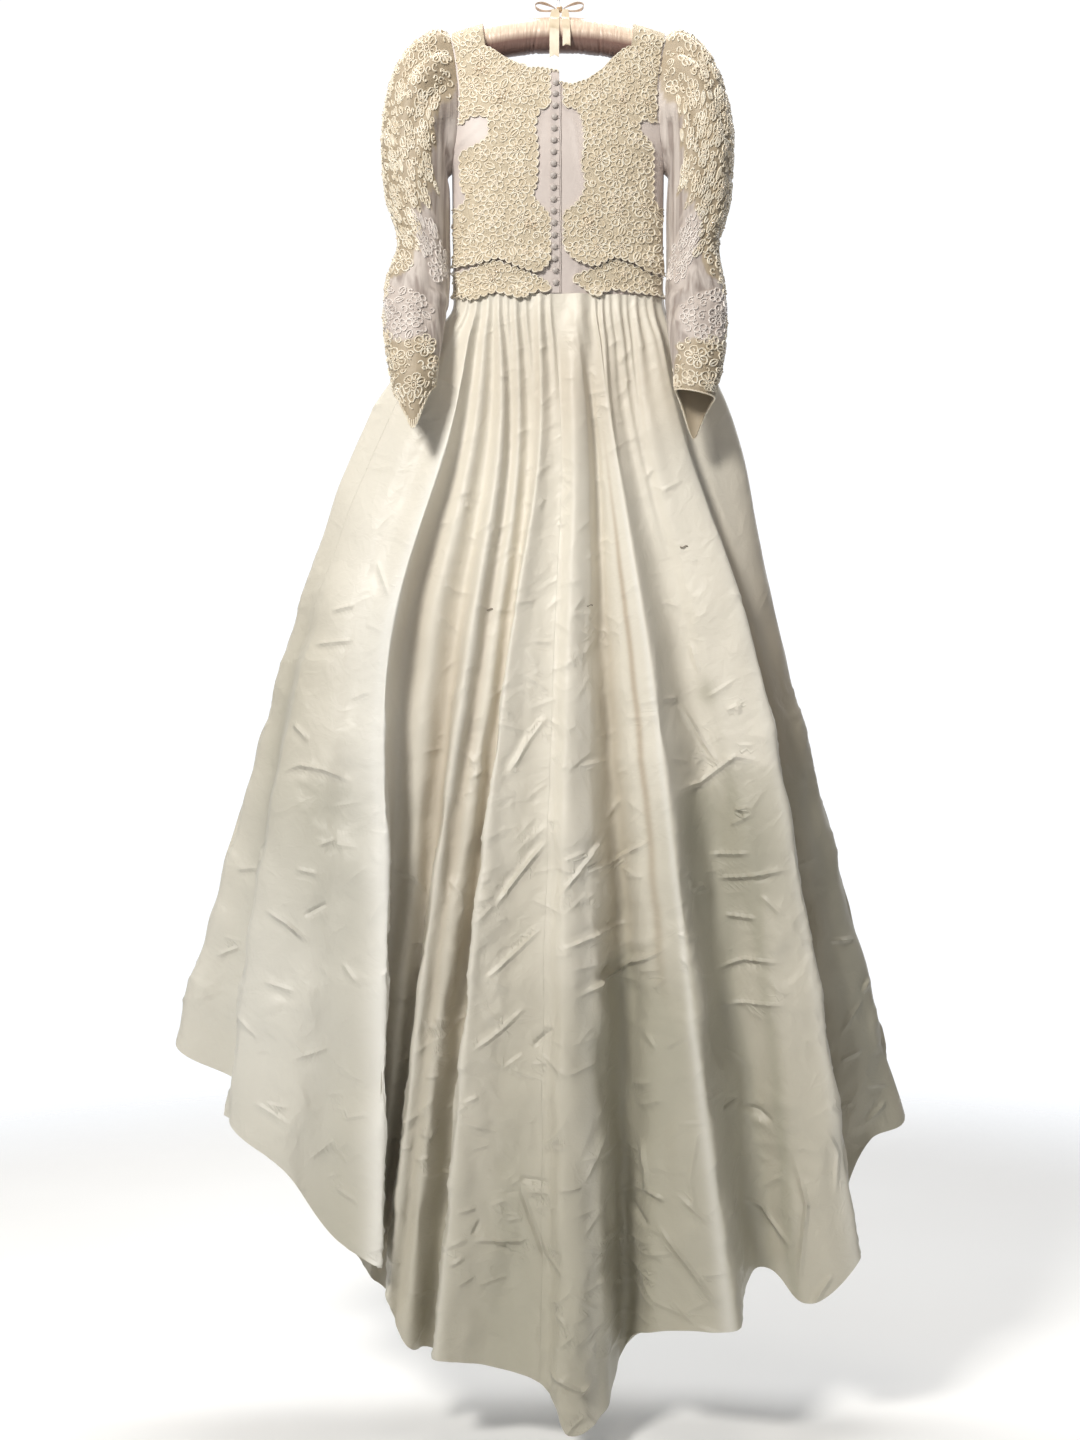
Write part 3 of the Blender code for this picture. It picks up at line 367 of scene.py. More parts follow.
def gathered_satin():
    """Acetate satin with long floats: bright over the top, with painted shade in dull brown along its
    underside.
    """
    finish, tree, shader = new_finish("ruched_acetate_satin", Roughness=0.36, Sheen_Weight=0.25,
                                      Sheen_Roughness=0.4, Specular_IOR_Level=0.6)
    floats = noise(stretched(object_place(tree), 420.0, 60.0, 60.0), 1.0, detail=3.0)
    tint = add_node(tree, "ShaderNodeValToRGB", {"Fac": floats})
    for element, colour, position in zip(tint.color_ramp.elements, ("#D3BAA6", "#EED9C4"), (0.30, 0.66)):
        element.color = linear(colour)
        element.position = position
    # painted shade: the satin goes dull brown along the underside, where less light falls
    top = add_node(tree, "ShaderNodeAttribute", attribute_name="upper_side")
    underside_painted_shade = ranged(top.outputs["Fac"], 0.30, 0.52)
    link(blended(underside_painted_shade, "#8A6C62", tint.outputs["Color"]), shader)
    raised(shader, floats, 0.5, 0.0012)
    return finish


pad_rings, upper_side = pad_surface()
points, faces = closed_rings(pad_rings)
pad = add_piece("hanger_pad_cover", points, faces, gathered_satin(), ["hanger_pad"])
carry(pad.data, "upper_side", "FLOAT", np.append(upper_side.ravel(), (0.5, 0.5)))

# ------------------------------------------------------------------ ribbon bow
# A cream satin ribbon, woven with a firm edge, tied once round the shank and left
# with two tails that hang over the pad.
KNOT_MIDDLE = (2.5, -7.1, -68.0)
RIBBON_THICKNESS = 0.8


def grid_normals(points, wrap):
    """Unit normals of a grid of points, rows down and columns across."""
    if wrap:
        across = np.roll(points, -1, axis=1) - np.roll(points, 1, axis=1)
    else:
        across = np.gradient(points, axis=1)
    down = np.gradient(points, axis=0)
    return unit(np.cross(down, across))


def cloth_shell(outer, inner, wrap=False, kept=None):
    """Points and faces of a thin wall between two skins, with a rim where it ends."""
    rows, columns = outer.shape[:2]
    cells = columns if wrap else columns - 1
    row, column = np.meshgrid(np.arange(rows - 1), np.arange(cells), indexing="ij")
    after = (column + 1) % columns
    front = np.stack([row * columns + column, (row + 1) * columns + column,
                      (row + 1) * columns + after, row * columns + after], axis=-1)
    front = front.reshape(-1, 4) if kept is None else front[kept]
    size = rows * columns
    starts = front.ravel()
    ends = np.roll(front, -1, axis=1).ravel()
    is_rim = ~np.isin(starts * size + ends, ends * size + starts)
    p, q = starts[is_rim], ends[is_rim]
    faces = np.vstack([front, front[:, ::-1] + size, np.stack([q, p, p + size, q + size], axis=1)])
    points = np.vstack([outer.reshape(-1, 3), inner.reshape(-1, 3)])
    used = np.unique(faces)
    renumber = np.zeros(2 * size, dtype=int)
    renumber[used] = np.arange(len(used))
    return points[used], renumber[faces]


def ribbon(path, width, across_y, taper):
    """A ribbon along a path: its width, narrowed by taper, lies along Y or along X."""
    across = np.array((0.0, 1.0, 0.0) if across_y else (1.0, 0.0, 0.0))
    spread = np.linspace(-0.5, 0.5, 7)
    return path[:, None] + spread[None, :, None] * (width * taper)[:, None, None] * across


def hermite(t, start, leave, end, arrive, span=1.0):
    """A smooth curve from start to end with a slope at each; t runs from 0 to 1 over a span."""
    return ((2 * t ** 3 - 3 * t ** 2 + 1) * start + (t ** 3 - 2 * t ** 2 + t) * span * leave
            + (3 * t ** 2 - 2 * t ** 3) * end + (t ** 3 - t ** 2) * span * arrive)


def smooth_path(points, count):
    """A soft curve through a few points."""
    points = np.asarray(points, dtype=float)
    slopes = np.gradient(points, axis=0)
    places = np.linspace(0, len(points) - 1, count)
    start = np.minimum(places.astype(int), len(points) - 2)
    return hermite((places - start)[:, None], points[start], slopes[start], points[start + 1],
                   slopes[start + 1])


def ribbon_satin(name, low, high):
    """Double-faced satin ribbon: a close lengthwise gleam, warmer in its folds."""
    finish, tree, shader = new_finish(name, Roughness=0.34, Sheen_Weight=0.3, Specular_IOR_Level=0.6)
    place = object_place(tree)
    link(blended(noise(place, 70.0), low, high), shader)
    weave = add_node(tree, "ShaderNodeTexWave", {"Vector": place, "Scale": 700.0})
    raised(shader, weave.outputs["Fac"], 0.2, 0.0003)
    return finish


TAIL_SATIN = ribbon_satin("cream_double_faced_satin_ribbon", "#C4B294", "#E2D5BC")
BOW_SATIN = ribbon_satin("tan_aged_satin_ribbon", "#A98763", "#D6B995")


def bow_loop(name, side):
    """One loop of the bow: a flattened ring that narrows at the knot."""
    angle = np.linspace(0, 2 * math.pi, 60, endpoint=False)
    reach = 19.0 + 17.5 * np.cos(angle)
    rise = 9.0 * np.sin(angle) * (0.45 + 0.55 * (reach / 36.5))
    path = np.stack([KNOT_MIDDLE[0] + side * (reach + 5.0),
                     np.full_like(reach, KNOT_MIDDLE[1]),
                     KNOT_MIDDLE[2] + 6.0 * reach / 36.5 + rise], axis=1)
    taper = 0.62 + 0.38 * np.clip(reach / 24.0, 0, 1)
    outer = np.transpose(ribbon(path, 10.0, True, taper), (1, 0, 2))
    outer[:, :, 2] += 0.5 * np.sin(3 * angle)[None] * np.linspace(-1, 1, 7)[:, None]
    normals = grid_normals(outer, True)
    if np.sum((outer[3] - path.mean(axis=0)) * normals[3]) < 0:
        outer = outer[:, ::-1]
        normals = grid_normals(outer, True)
    points, faces = cloth_shell(outer, outer - normals * RIBBON_THICKNESS, wrap=True)
    loop = add_piece(name, points, faces, BOW_SATIN, [name.replace("ribbon", "bow")])


def bow_tail(name, x, width, last_z, sway):
    """One tail: out from under the knot, then down over the pad with a slight curl."""
    path = smooth_path([(x, -13.3, -70.0), (x, -14.6, -77.0), (x + sway * 0.3, -17.5, -84.0),
                        (x + sway * 0.5, -23.0, -91.0), (x + sway * 0.7, -28.6, -104.0),
                        (x + sway, -29.6, -118.0), (x + sway, -29.4, last_z)], 60)
    taper = np.interp(np.arange(60), (0, 14, 59), (0.72, 1.0, 1.0))
    outer = ribbon(path, width, False, taper)
    down = np.linspace(0, 1, 60)[:, None]
    outer[:, :, 1] -= 0.9 * np.sin(down * 9.0) * np.linspace(-1, 1, 7)[None] + 0.4
    outer[-1, :, 2] += np.abs(np.linspace(-1, 1, 7)) * -4.0 + 4.0
    normals = grid_normals(outer, False)
    points, faces = cloth_shell(outer, outer - normals * RIBBON_THICKNESS)
    tail = add_piece(name, points, faces, TAIL_SATIN, [name.replace("ribbon", "bow")])


def knot_band():
    """The knot: a short band wrapped round the crossing, creased along its length."""
    around = np.linspace(0, 2 * math.pi, 40, endpoint=False)
    rings = []
    for part in np.linspace(-1, 1, 15):
        full = (1 - abs(part) ** 3 * 0.45)
        crease = 1 + 0.07 * np.sin(around * 5 + part * 2.0)
        rings.append(np.stack([KNOT_MIDDLE[0] + 5.0 * part * np.ones_like(around),
                               KNOT_MIDDLE[1] - 0.3 + 4.6 * full * crease * np.cos(around),
                               KNOT_MIDDLE[2] + 6.0 * full * crease * np.sin(around)], axis=1))
    return closed_rings(np.array(rings))


bow_loop("ribbon_loop_left", -1.0)
bow_loop("ribbon_loop_right", 1.0)
bow_tail("ribbon_tail_left", -5.0, 16.0, -157.0, -1.5)
bow_tail("ribbon_tail_right", 12.0, 13.0, -138.0, 2.0)
points, faces = knot_band()
add_piece("ribbon_knot", points, faces, BOW_SATIN, ["bow_knot"])

# ------------------------------------------------------------------ bodice
# Two back panels and a front in mauve-white duchesse satin on a lining, cut to the
# figure, seamed at the sides and shoulders, with a fine rouleau round the neck.
WAIST_Z = -560.0
WAIST_HALF_WIDTH = 177.5
WAIST_HALF_DEPTH = 50.0
UNDERARM_Z = -345.0
SHOULDER_X = 184.0
NECK_X = 127.0
CENTRE_BACK_X = 2.0
SHOULDER_CAP = 34.0
CLOTH = 1.6
SEAM_GAP = 0.3
OVAL_POWER = 2.4
NECK_ROW_PART = 0.90
BODICE_LEVELS = np.array((  # height, half the width, half the depth
    (WAIST_Z, WAIST_HALF_WIDTH, WAIST_HALF_DEPTH),
    (-450.0, 179.0, 56.0),
    (-345.0, 180.0, 58.0),
    (-300.0, 189.0, 57.0),
    (-230.0, 196.0, 52.0),
    (-170.0, 200.0, 44.0),
    (-130.0, 202.0, 39.0),
    (-80.0, 204.0, 37.0),
))
BACK_NECKLINE = np.array((  # |x|, height on the left, on the right
    (0.0, -187.0, -206.0),
    (25.0, -182.0, -211.0),
    (52.0, -181.0, -201.0),
    (80.0, -168.0, -181.0),
    (95.0, -160.0, -163.0),
    (113.0, -146.0, -146.0),
    (127.0, -140.0, -140.0),
))


def shoulder_z(x):
    """Height of the shoulder seam, which lies on the pad."""
    return PAD_TOP_Z - pad_drop(x) + CLOTH + SEAM_GAP


SHOULDER_Z = shoulder_z(SHOULDER_X)


def side_x(z):
    """Half the width of a bodice panel at z: side seam below, armhole above."""
    below = np.interp(z, BODICE_LEVELS[:, 0], BODICE_LEVELS[:, 1])
    part = np.clip((z - UNDERARM_Z) / (SHOULDER_Z - UNDERARM_Z), 0.0, 1.0)
    return np.where(z < UNDERARM_Z, below, 180.0 + 4.0 * part - 14.0 * np.sin(math.pi * part))


def bodice_depth(x, z):
    """Distance of the bodice from the side seams' plane at x and z."""
    half_width = np.interp(z, BODICE_LEVELS[:, 0], BODICE_LEVELS[:, 1])
    half_depth = np.interp(z, BODICE_LEVELS[:, 0], BODICE_LEVELS[:, 2])
    reach = np.clip(np.abs(x) / half_width, 0.0, 1.0)
    depth = half_depth * (1.0 - reach ** OVAL_POWER) ** (1.0 / OVAL_POWER)
    roll = np.clip((z - shoulder_z(x) + SHOULDER_CAP) / SHOULDER_CAP, 0.0, 1.0)
    return depth * np.sqrt(1.0 - roll ** 2)


def on_bodice(x, z, height, facing):
    """Points that stand a height off the bodice; facing is -1 at the back, +1 in front."""
    x, z = np.asarray(x, dtype=float), np.asarray(z, dtype=float)
    slope_x = bodice_depth(x + 0.5, z) - bodice_depth(x - 0.5, z)
    slope_z = bodice_depth(x, z + 0.5) - bodice_depth(x, z - 0.5)
    normal = unit(np.stack([-slope_x, np.full_like(x, facing), -slope_z], axis=-1))
    base = np.stack([x, facing * np.maximum(bodice_depth(x, z), SEAM_GAP / 2), z], axis=-1)
    return base + normal * np.asarray(height)[..., None]


def back_neck_z(x):
    """Height of the back neckline: the left side sits higher than the right."""
    left, right = (np.interp(np.abs(x), BACK_NECKLINE[:, 0], BACK_NECKLINE[:, k]) for k in (1, 2))
    return np.where(x <= CENTRE_BACK_X, left, right)


def front_neck_z(x):
    """A round scooped front neckline."""
    return -262.0 + 122.0 * (np.abs(x) / NECK_X) ** 2.2


def bodice_panel(first, last, neck_z, columns):
    """x, z and kept cells of a panel between two parts of its half width."""
    fractions = np.unique(np.concatenate([np.linspace(first, last, columns),
                                          [f for f in (-NECK_X / SHOULDER_X, NECK_X / SHOULDER_X)
                                           if first < f < last]]))
    parts = np.unique(np.concatenate([np.linspace(0, 0.46, 28), np.linspace(0.46, 0.9, 40),
                                      np.linspace(0.9, 1.0, 26)]))[::-1]
    bottom = WAIST_Z + SEAM_GAP / 2
    top_x = fractions * SHOULDER_X
    strap = np.abs(top_x) >= NECK_X - 1e-6
    z = np.empty((len(parts), len(fractions)))
    for row, part in enumerate(parts):
        on_strap = bottom + part * (shoulder_z(top_x) - bottom)
        held = min(part / NECK_ROW_PART, 1.0)
        z[row] = np.where(strap, on_strap, bottom + held * (neck_z(top_x) - bottom))
    x = fractions[None] * side_x(z)
    in_strap = strap[:-1] & strap[1:]
    kept = (parts[:-1] <= NECK_ROW_PART + 1e-6)[:, None] | in_strap[None]
    return x, z, kept


SATIN_RIPPLES = (           # x, z, half length, half width, lean, height: soft drag lines
    (-40.0, -300.0, 70.0, 6.0, 0.10, 0.7),
    (34.0, -330.0, 80.0, 5.0, -0.15, 0.8),
    (20.0, -270.0, 45.0, 4.0, -0.75, 0.7),
    (-60.0, -240.0, 30.0, 5.0, 0.6, 0.6),
    (-172.0, -390.0, 60.0, 4.0, 0.1, 1.0),
    (168.0, -410.0, 70.0, 4.0, -0.1, 1.0),
    (-163.0, -300.0, 40.0, 4.0, 0.9, 0.9),
    (150.0, -290.0, 40.0, 4.0, -0.9, 0.9),
    (30.0, -528.0, 22.0, 4.0, 0.3, 0.9),
)


def satin_ripple(x, z):
    """Height of the drag lines in the satin at x and z."""
    height = np.zeros_like(x)
    for at_x, at_z, long, wide, lean, lift in SATIN_RIPPLES:
        along = (z - at_z) * math.cos(lean) + (x - at_x) * math.sin(lean)
        across = (x - at_x) * math.cos(lean) - (z - at_z) * math.sin(lean)
        height += lift * np.exp(-(along / long) ** 2) * (np.exp(-(across / wide) ** 2)
                                                         - 0.5 * np.exp(-((across - 1.8 * wide) / wide) ** 2))
    return height


def duchesse_satin():
    """Duchesse satin: a heavy smooth satin with a low gleam, mauve-white, a little mottled."""
    finish, tree, shader = new_finish("mauve_white_duchesse_satin", Roughness=0.48, Sheen_Weight=0.2,
                                      Sheen_Roughness=0.5)
    place = object_place(tree)
    link(blended(noise(place, 14.0, detail=4.0), "#C2B6B1", "#D9CFC9"), shader)
    # the real floats are 0.1 mm apart; drawn at 1.2 mm so that they show
    raised(shader, noise(place, 800.0), 0.12, 0.0006)
    return finish


DUCHESSE = duchesse_satin()


def bodice_shell(name, first, last, neck_z, facing, columns):
    """One satin panel as a thin shell with soft drag lines."""
    x, z, kept = bodice_panel(first, last, neck_z, columns)
    ripple = satin_ripple(x, z)
    outer = on_bodice(x, z, ripple, facing)
    inner = on_bodice(x, z, ripple - CLOTH, facing)
    inner[:, :, 1] = facing * np.maximum(facing * inner[:, :, 1], 0.02)
    top = outer[0].copy()
    strap = np.abs(x[0]) >= NECK_X - 1e-6
    top[:, 2] -= CLOTH
    inner[0, strap] = top[strap]
    if facing > 0:
        outer, inner, kept = outer[:, ::-1], inner[:, ::-1], kept[:, ::-1]
    points, faces = cloth_shell(outer, inner, kept=kept)
    panel = add_piece(name + "_satin", points, faces, DUCHESSE, [name])


closing_part = CENTRE_BACK_X / SHOULDER_X
closing_gap = 0.15 / SHOULDER_X
bodice_shell("bodice_back_left", -1.0, closing_part - closing_gap, back_neck_z, -1, 56)
bodice_shell("bodice_back_right", closing_part + closing_gap, 1.0, back_neck_z, -1, 56)
bodice_shell("bodice_front", -1.0, 1.0, front_neck_z, 1, 60)

# the rouleau: a bias strip of the satin, turned into a tube and sewn over the raw neck edge
for name, first_x, last_x, neck_z, facing in (
        ("neck_rouleau_left", -NECK_X + 1.0, CENTRE_BACK_X - 1.2, back_neck_z, -1),
        ("neck_rouleau_right", CENTRE_BACK_X + 3.6, NECK_X - 1.0, back_neck_z, -1),
        ("neck_rouleau_front", -NECK_X + 1.0, NECK_X - 1.0, front_neck_z, 1)):
    x = np.linspace(first_x, last_x, 60)
    points, faces = tube(on_bodice(x, neck_z(x) + 0.3, np.full_like(x, -0.5), facing), 1.5, sides=8)
    add_piece(name, points, faces, DUCHESSE, [])

# ------------------------------------------------------------------ placket
# The left back edge is folded into a strip that carries the buttons; the right
# edge is finished with a corded piping.
PLACKET = 1.2
PIPING_RADIUS = 1.1


def placket():
    """The folded strip, from the neck to the waist."""
    z = np.linspace(-189.0, -558.5, 90)[:, None]
    x = np.linspace(-14.2, CENTRE_BACK_X - 0.2, 9)[None]
    x, z = np.broadcast_arrays(x, z)
    fold = 0.35 * np.exp(-((x + 13.0) / 1.2) ** 2)
    outer = on_bodice(x, z, SEAM_GAP + PLACKET + fold, -1)
    inner = on_bodice(x, z, np.full_like(fold, SEAM_GAP), -1)
    return cloth_shell(outer, inner)


points, faces = placket()
strip = add_piece("placket_fold", points, faces, DUCHESSE, ["placket"])
piping_z = np.linspace(-206.0, -558.0, 120)
piping_x = np.full_like(piping_z, CENTRE_BACK_X + 1.35) + 0.25 * np.sin(piping_z / 7.0)
points, faces = tube(on_bodice(piping_x, piping_z, np.full_like(piping_z, SEAM_GAP + PIPING_RADIUS), -1),
                     PIPING_RADIUS, sides=8)
add_piece("piped_edge", points, faces, DUCHESSE, ["placket_piping"])

# ------------------------------------------------------------------ buttons
# Dome moulds covered in the gown's satin, sewn on by a thread shank, each held by
# a fine loop of elastic cord from the piped edge.
BUTTON_COUNT = 18
BUTTON_RADIUS = 5.5
BUTTON_DOME = 3.3
BUTTON_UNDERSIDE = 1.1
LOOP_CORD = 0.9
FIRST_BUTTON_Z = -207.0
LAST_BUTTON_Z = -541.0


def button_places():
    """x and z of each button; the row bows a little to the left."""
    part = np.arange(BUTTON_COUNT) / (BUTTON_COUNT - 1)
    return -4.5 - 4.0 * np.sin(math.pi * part), FIRST_BUTTON_Z + (LAST_BUTTON_Z - FIRST_BUTTON_Z) * part


def start_tree(name, inputs, output):
    """A geometry node tree with named inputs, and the sockets that they come in by."""
    tree = bpy.data.node_groups.new(name, "GeometryNodeTree")
    for label, kind in inputs:
        tree.interface.new_socket(label, in_out="INPUT", socket_type="NodeSocket" + kind)
    tree.interface.new_socket(output, in_out="OUTPUT", socket_type="NodeSocketGeometry")
    return tree, tree.nodes.new("NodeGroupInput").outputs


def end_tree(tree, geometry, material):
    """Real geometry of one material, handed out."""
    plain = add_node(tree, "GeometryNodeRealizeInstances", {"Geometry": geometry})
    dressed = add_node(tree, "GeometryNodeSetMaterial", {"Geometry": plain.outputs["Geometry"],
                                                         "Material": material})
    tree.links.new(dressed.outputs["Geometry"], tree.nodes.new("NodeGroupOutput").inputs[0])
    return tree


def carried(tree, name, kind):
    """What each point carries under a name."""
    return add_node(tree, "GeometryNodeInputNamedAttribute", {"Name": name},
                    data_type=kind).outputs["Attribute"]


def button_tree():
    """Nodes that sew a satin dome on every point, turned as the point says."""
    tree, given = start_tree("sew_domed_buttons", (
        ("Places", "Geometry"), ("Radius", "Float"), ("Dome", "Float"), ("Underside", "Float"),
        ("Satin", "Material")), "Buttons")
    ball = add_node(tree, "GeometryNodeMeshUVSphere", {"Segments": 24, "Rings": 14, "Radius": 1.0})
    place = add_node(tree, "GeometryNodeInputPosition")
    parts = add_node(tree, "ShaderNodeSeparateXYZ", {"Vector": place.outputs["Position"]}).outputs
    above = reckoned(tree, "MAXIMUM", parts["Z"], 0.0)
    below = reckoned(tree, "MINIMUM", parts["Z"], 0.0)
    dome = reckoned(tree, "MULTIPLY", above, given["Dome"])
    joined = add_node(tree, "ShaderNodeCombineXYZ", {
        "X": reckoned(tree, "MULTIPLY", parts["X"], given["Radius"]),
        "Y": reckoned(tree, "MULTIPLY", parts["Y"], given["Radius"]),
        "Z": reckoned(tree, "MULTIPLY_ADD", below, given["Underside"], dome)})
    domed = add_node(tree, "GeometryNodeSetPosition", {"Geometry": ball.outputs["Mesh"],
                                                       "Position": joined.outputs["Vector"]})
    turned = add_node(tree, "FunctionNodeEulerToRotation", {"Euler": carried(tree, "turn", "FLOAT_VECTOR")})
    sewn = add_node(tree, "GeometryNodeInstanceOnPoints", {"Points": given["Places"],
                                                           "Instance": domed.outputs["Geometry"],
                                                           "Rotation": turned.outputs["Rotation"]})
    return end_tree(tree, sewn.outputs["Instances"], given["Satin"])


def couching_tree():
    """Nodes that run a half-round cord along every line of a mesh, flat side down."""
    tree, given = start_tree("couch_cord_along_lines", (
        ("Lines", "Geometry"), ("Width", "Float"), ("Height", "Float"), ("Cord", "Material")), "Cords")
    curves = add_node(tree, "GeometryNodeMeshToCurve", {"Mesh": given["Lines"]})
    upright = add_node(tree, "GeometryNodeSetCurveNormal",
                       {"Curve": curves.outputs["Curve"], "Normal": carried(tree, "outward", "FLOAT_VECTOR")},
                       mode="FREE")
    section = add_node(tree, "GeometryNodeCurvePrimitiveQuadrilateral",
                       {"Bottom Width": given["Width"], "Height": given["Height"], "Offset": 0.0,
                        "Top Width": reckoned(tree, "MULTIPLY", given["Width"], 0.55)}, mode="TRAPEZOID")
    upward = add_node(tree, "GeometryNodeTransform",
                      {"Geometry": section.outputs["Curve"], "Rotation": (0.0, 0.0, -math.pi / 2)})
    cords = add_node(tree, "GeometryNodeCurveToMesh",
                     {"Curve": upright.outputs["Curve"], "Profile Curve": upward.outputs["Geometry"],
                      "Fill Caps": True})
    return end_tree(tree, cords.outputs["Mesh"], given["Cord"])


def keep_result(piece):
    """Give a piece the mesh that its modifiers make, and take the modifiers off."""
    evaluated = piece.evaluated_get(bpy.context.evaluated_depsgraph_get())
    made = bpy.data.meshes.new_from_object(evaluated)
    piece.modifiers.clear()
    piece.data = made
    return made


def grow(name, points, edges, attribute, kind, values, tree, settings, slot, nodes=()):
    """Run a node tree on a mesh of points or lines and hand over the plain result."""
    mesh = bpy.data.meshes.new(name)
    mesh.from_pydata((np.asarray(points) * MM).tolist(), edges, [])
    carry(mesh, attribute, kind, values)
    piece = put_in_scene(name, mesh)
    grown = piece.modifiers.new("grown", "NODES")
    grown.node_group = tree
    for item in tree.interface.items_tree:
        if item.in_out == "INPUT" and item.name in settings:
            grown[item.identifier] = settings[item.name]
    plain = keep_result(piece)
    plain.name = name
    plain.shade_smooth()
    plain.set_sharp_from_angle(angle=math.radians(60))
    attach(piece, "root")
    if nodes:
        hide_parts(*nodes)


def button_satin():
    """The same satin pulled tight over a mould, greyed by handling."""
    finish, tree, shader = new_finish("satin_covered_mould", Roughness=0.42, Sheen_Weight=0.2)
    cloud = noise(object_place(tree), 160.0)
    link(blended(cloud, "#A39A95", "#CDC5BF"), shader)
    raised(shader, cloud, 0.2, 0.0008)
    return finish


random = np.random.default_rng(18)
button_x, button_z = button_places()
turns = np.stack([math.pi / 2 + random.uniform(-0.12, 0.12, BUTTON_COUNT), np.zeros(BUTTON_COUNT),
                  random.uniform(-0.12, 0.12, BUTTON_COUNT)], axis=1)
middles = on_bodice(button_x, button_z, SEAM_GAP + PLACKET + 0.6 + BUTTON_UNDERSIDE, -1)
grow("covered_buttons", middles, [], "turn", "FLOAT_VECTOR", turns, button_tree(),
     {"Radius": BUTTON_RADIUS * MM, "Dome": BUTTON_DOME * MM, "Underside": BUTTON_UNDERSIDE * MM,
      "Satin": button_satin()}, "button_satin",
     ["button_%02d" % (k + 1) for k in range(BUTTON_COUNT)])

COUCHING = couching_tree()
round_button = np.linspace(0, math.pi, 12)[None]
edge_x = CENTRE_BACK_X + 0.6
loop_x = edge_x - (edge_x - button_x[:, None] + 3.2) * np.sin(round_button)
loop_z = button_z[:, None] + 2.6 * np.cos(round_button)
loop_lines = [(12 * row + k, 12 * row + k + 1) for row in range(BUTTON_COUNT) for k in range(11)]
low = on_bodice(loop_x.ravel(), loop_z.ravel(), SEAM_GAP + PLACKET + 0.4, -1)
high = on_bodice(loop_x.ravel(), loop_z.ravel(), SEAM_GAP + PLACKET + 1.4, -1)
grow("button_loops", low, loop_lines, "outward", "FLOAT_VECTOR", high - low, COUCHING,
     {"Width": LOOP_CORD * MM, "Height": LOOP_CORD * MM, "Cord": DUCHESSE}, "bodice_satin")

# ------------------------------------------------------------------ bodice lace
# Corded lace in champagne: motifs embroidered on net, outlined with a couched cord,
# beaded with seed pearls by hand, cut out along its scallops and sewn on the satin.
LACE = 1.3
CORD_WIDTH = 2.4
CORD_HEIGHT = 2.0
SCALLOP_LENGTH = 13.0
SCALLOP_DEPTH = 4.6
LACE_OUTLINES = {           # (x, height) corners, clockwise as seen from behind
    "lace_back_left": (
        (-225, -60), (-16, -60), (-16, -246), (-33, -251), (-41, -281), (-36, -322), (-38, -378),
        (-46, -398), (-32, -415), (-16, -432), (-16, -508), (-34, -523), (-66, -513), (-99, -497),
        (-136, -506), (-174, -507), (-225, -507), (-225, -418), (-168, -413), (-148, -399),
        (-161, -378), (-163, -322), (-131, -309), (-113, -296), (-116, -260), (-148, -258),
        (-165, -272), (-179, -260), (-225, -258)),
    "lace_back_right": (
        (11, -60), (225, -60), (225, -252), (183, -255), (162, -268), (137, -262), (132, -285),
        (157, -310), (157, -398), (167, -413), (225, -418), (225, -519), (155, -519), (127, -505),
        (93, -496), (60, -513), (28, -502), (11, -482), (11, -428), (28, -416), (43, -398),
        (48, -373), (41, -348), (46, -305), (43, -272), (33, -250), (11, -246)),
    "lace_waist_left": (
        (-225, -524), (-150, -520), (-135, -514), (-103, -506), (-66, -521), (-34, -534), (-16, -545),
        (-16, -556), (-34, -552), (-62, -566), (-104, -553), (-141, -566), (-174, -556), (-225, -556)),
    "lace_waist_right": (
        (24, -536), (38, -527), (60, -522), (93, -505), (127, -514), (155, -527), (225, -529),
        (225, -558), (127, -554), (89, -549), (60, -563), (44, -548)),
    "lace_front": (
        (-225, -60), (225, -60), (225, -258), (170, -262), (160, -300), (172, -340), (168, -410),
        (225, -418), (225, -512), (165, -512), (120, -500), (80, -512), (40, -502), (0, -516),
        (-40, -502), (-80, -512), (-120, -500), (-165, -512), (-225, -512), (-225, -418),
        (-168, -410), (-172, -340), (-160, -300), (-170, -262), (-225, -258)),
    "lace_waist_front": (
        (-225, -522), (-165, -522), (-120, -511), (-80, -522), (-40, -512), (0, -526), (40, -512),
        (80, -522), (120, -511), (165, -522), (225, -522), (225, -558), (165, -552), (120, -564),
        (80, -550), (40, -564), (0, -552), (-40, -564), (-80, -550), (-120, -564), (-165, -552),
        (-225, -558)),
}
MOTIF_SIZES = ((20.0, 50), (14.0, 120), (9.5, 400), (6.8, 1500), (5.2, 3500))


def spun(line, turn):
    """A flat line turned round its origin."""
    return line @ np.array(((math.cos(turn), math.sin(turn)), (-math.sin(turn), math.cos(turn))))


def petals(radius, count, turn):
    """Cords of a flower: a loop for each petal with a vein in it, round a small ring."""
    cords = []
    around = np.linspace(0, 2 * math.pi, 9, endpoint=False)
    for k in range(count):
        lean = turn + 2 * math.pi * k / count
        along = radius * (0.64 + 0.34 * np.cos(around))
        beside = radius * 1.75 / count * np.sin(around) * (1.1 + 0.3 * np.cos(around))
        cords.append((spun(np.stack([along, beside], axis=1), lean), True))
        if radius > 17.0:
            vein = np.array(((0.42, 0.03), (0.58, -0.03), (0.76, 0.02))) * radius
            cords.append((spun(vein, lean), False))
    ring = np.linspace(0, 2 * math.pi, 8, endpoint=False)
    cords.append((0.2 * radius * np.stack([np.cos(ring), np.sin(ring)], axis=1), True))
    return cords


def leaf(length, width, turn):
    """Cords of a leaf: a pointed outline and a midrib."""
    t = np.linspace(0, 1, 7)
    side = width / 2 * np.sin(math.pi * t) ** 0.8
    out = np.concatenate([np.stack([length * (t - 0.5), side], axis=1),
                          np.stack([length * (t[-2:0:-1] - 0.5), -side[-2:0:-1]], axis=1)])
    rib = np.stack([length * (np.linspace(0.12, 0.85, 4) - 0.5), np.zeros(4)], axis=1)
    return [(spun(out, turn), True), (spun(rib, turn), False)]


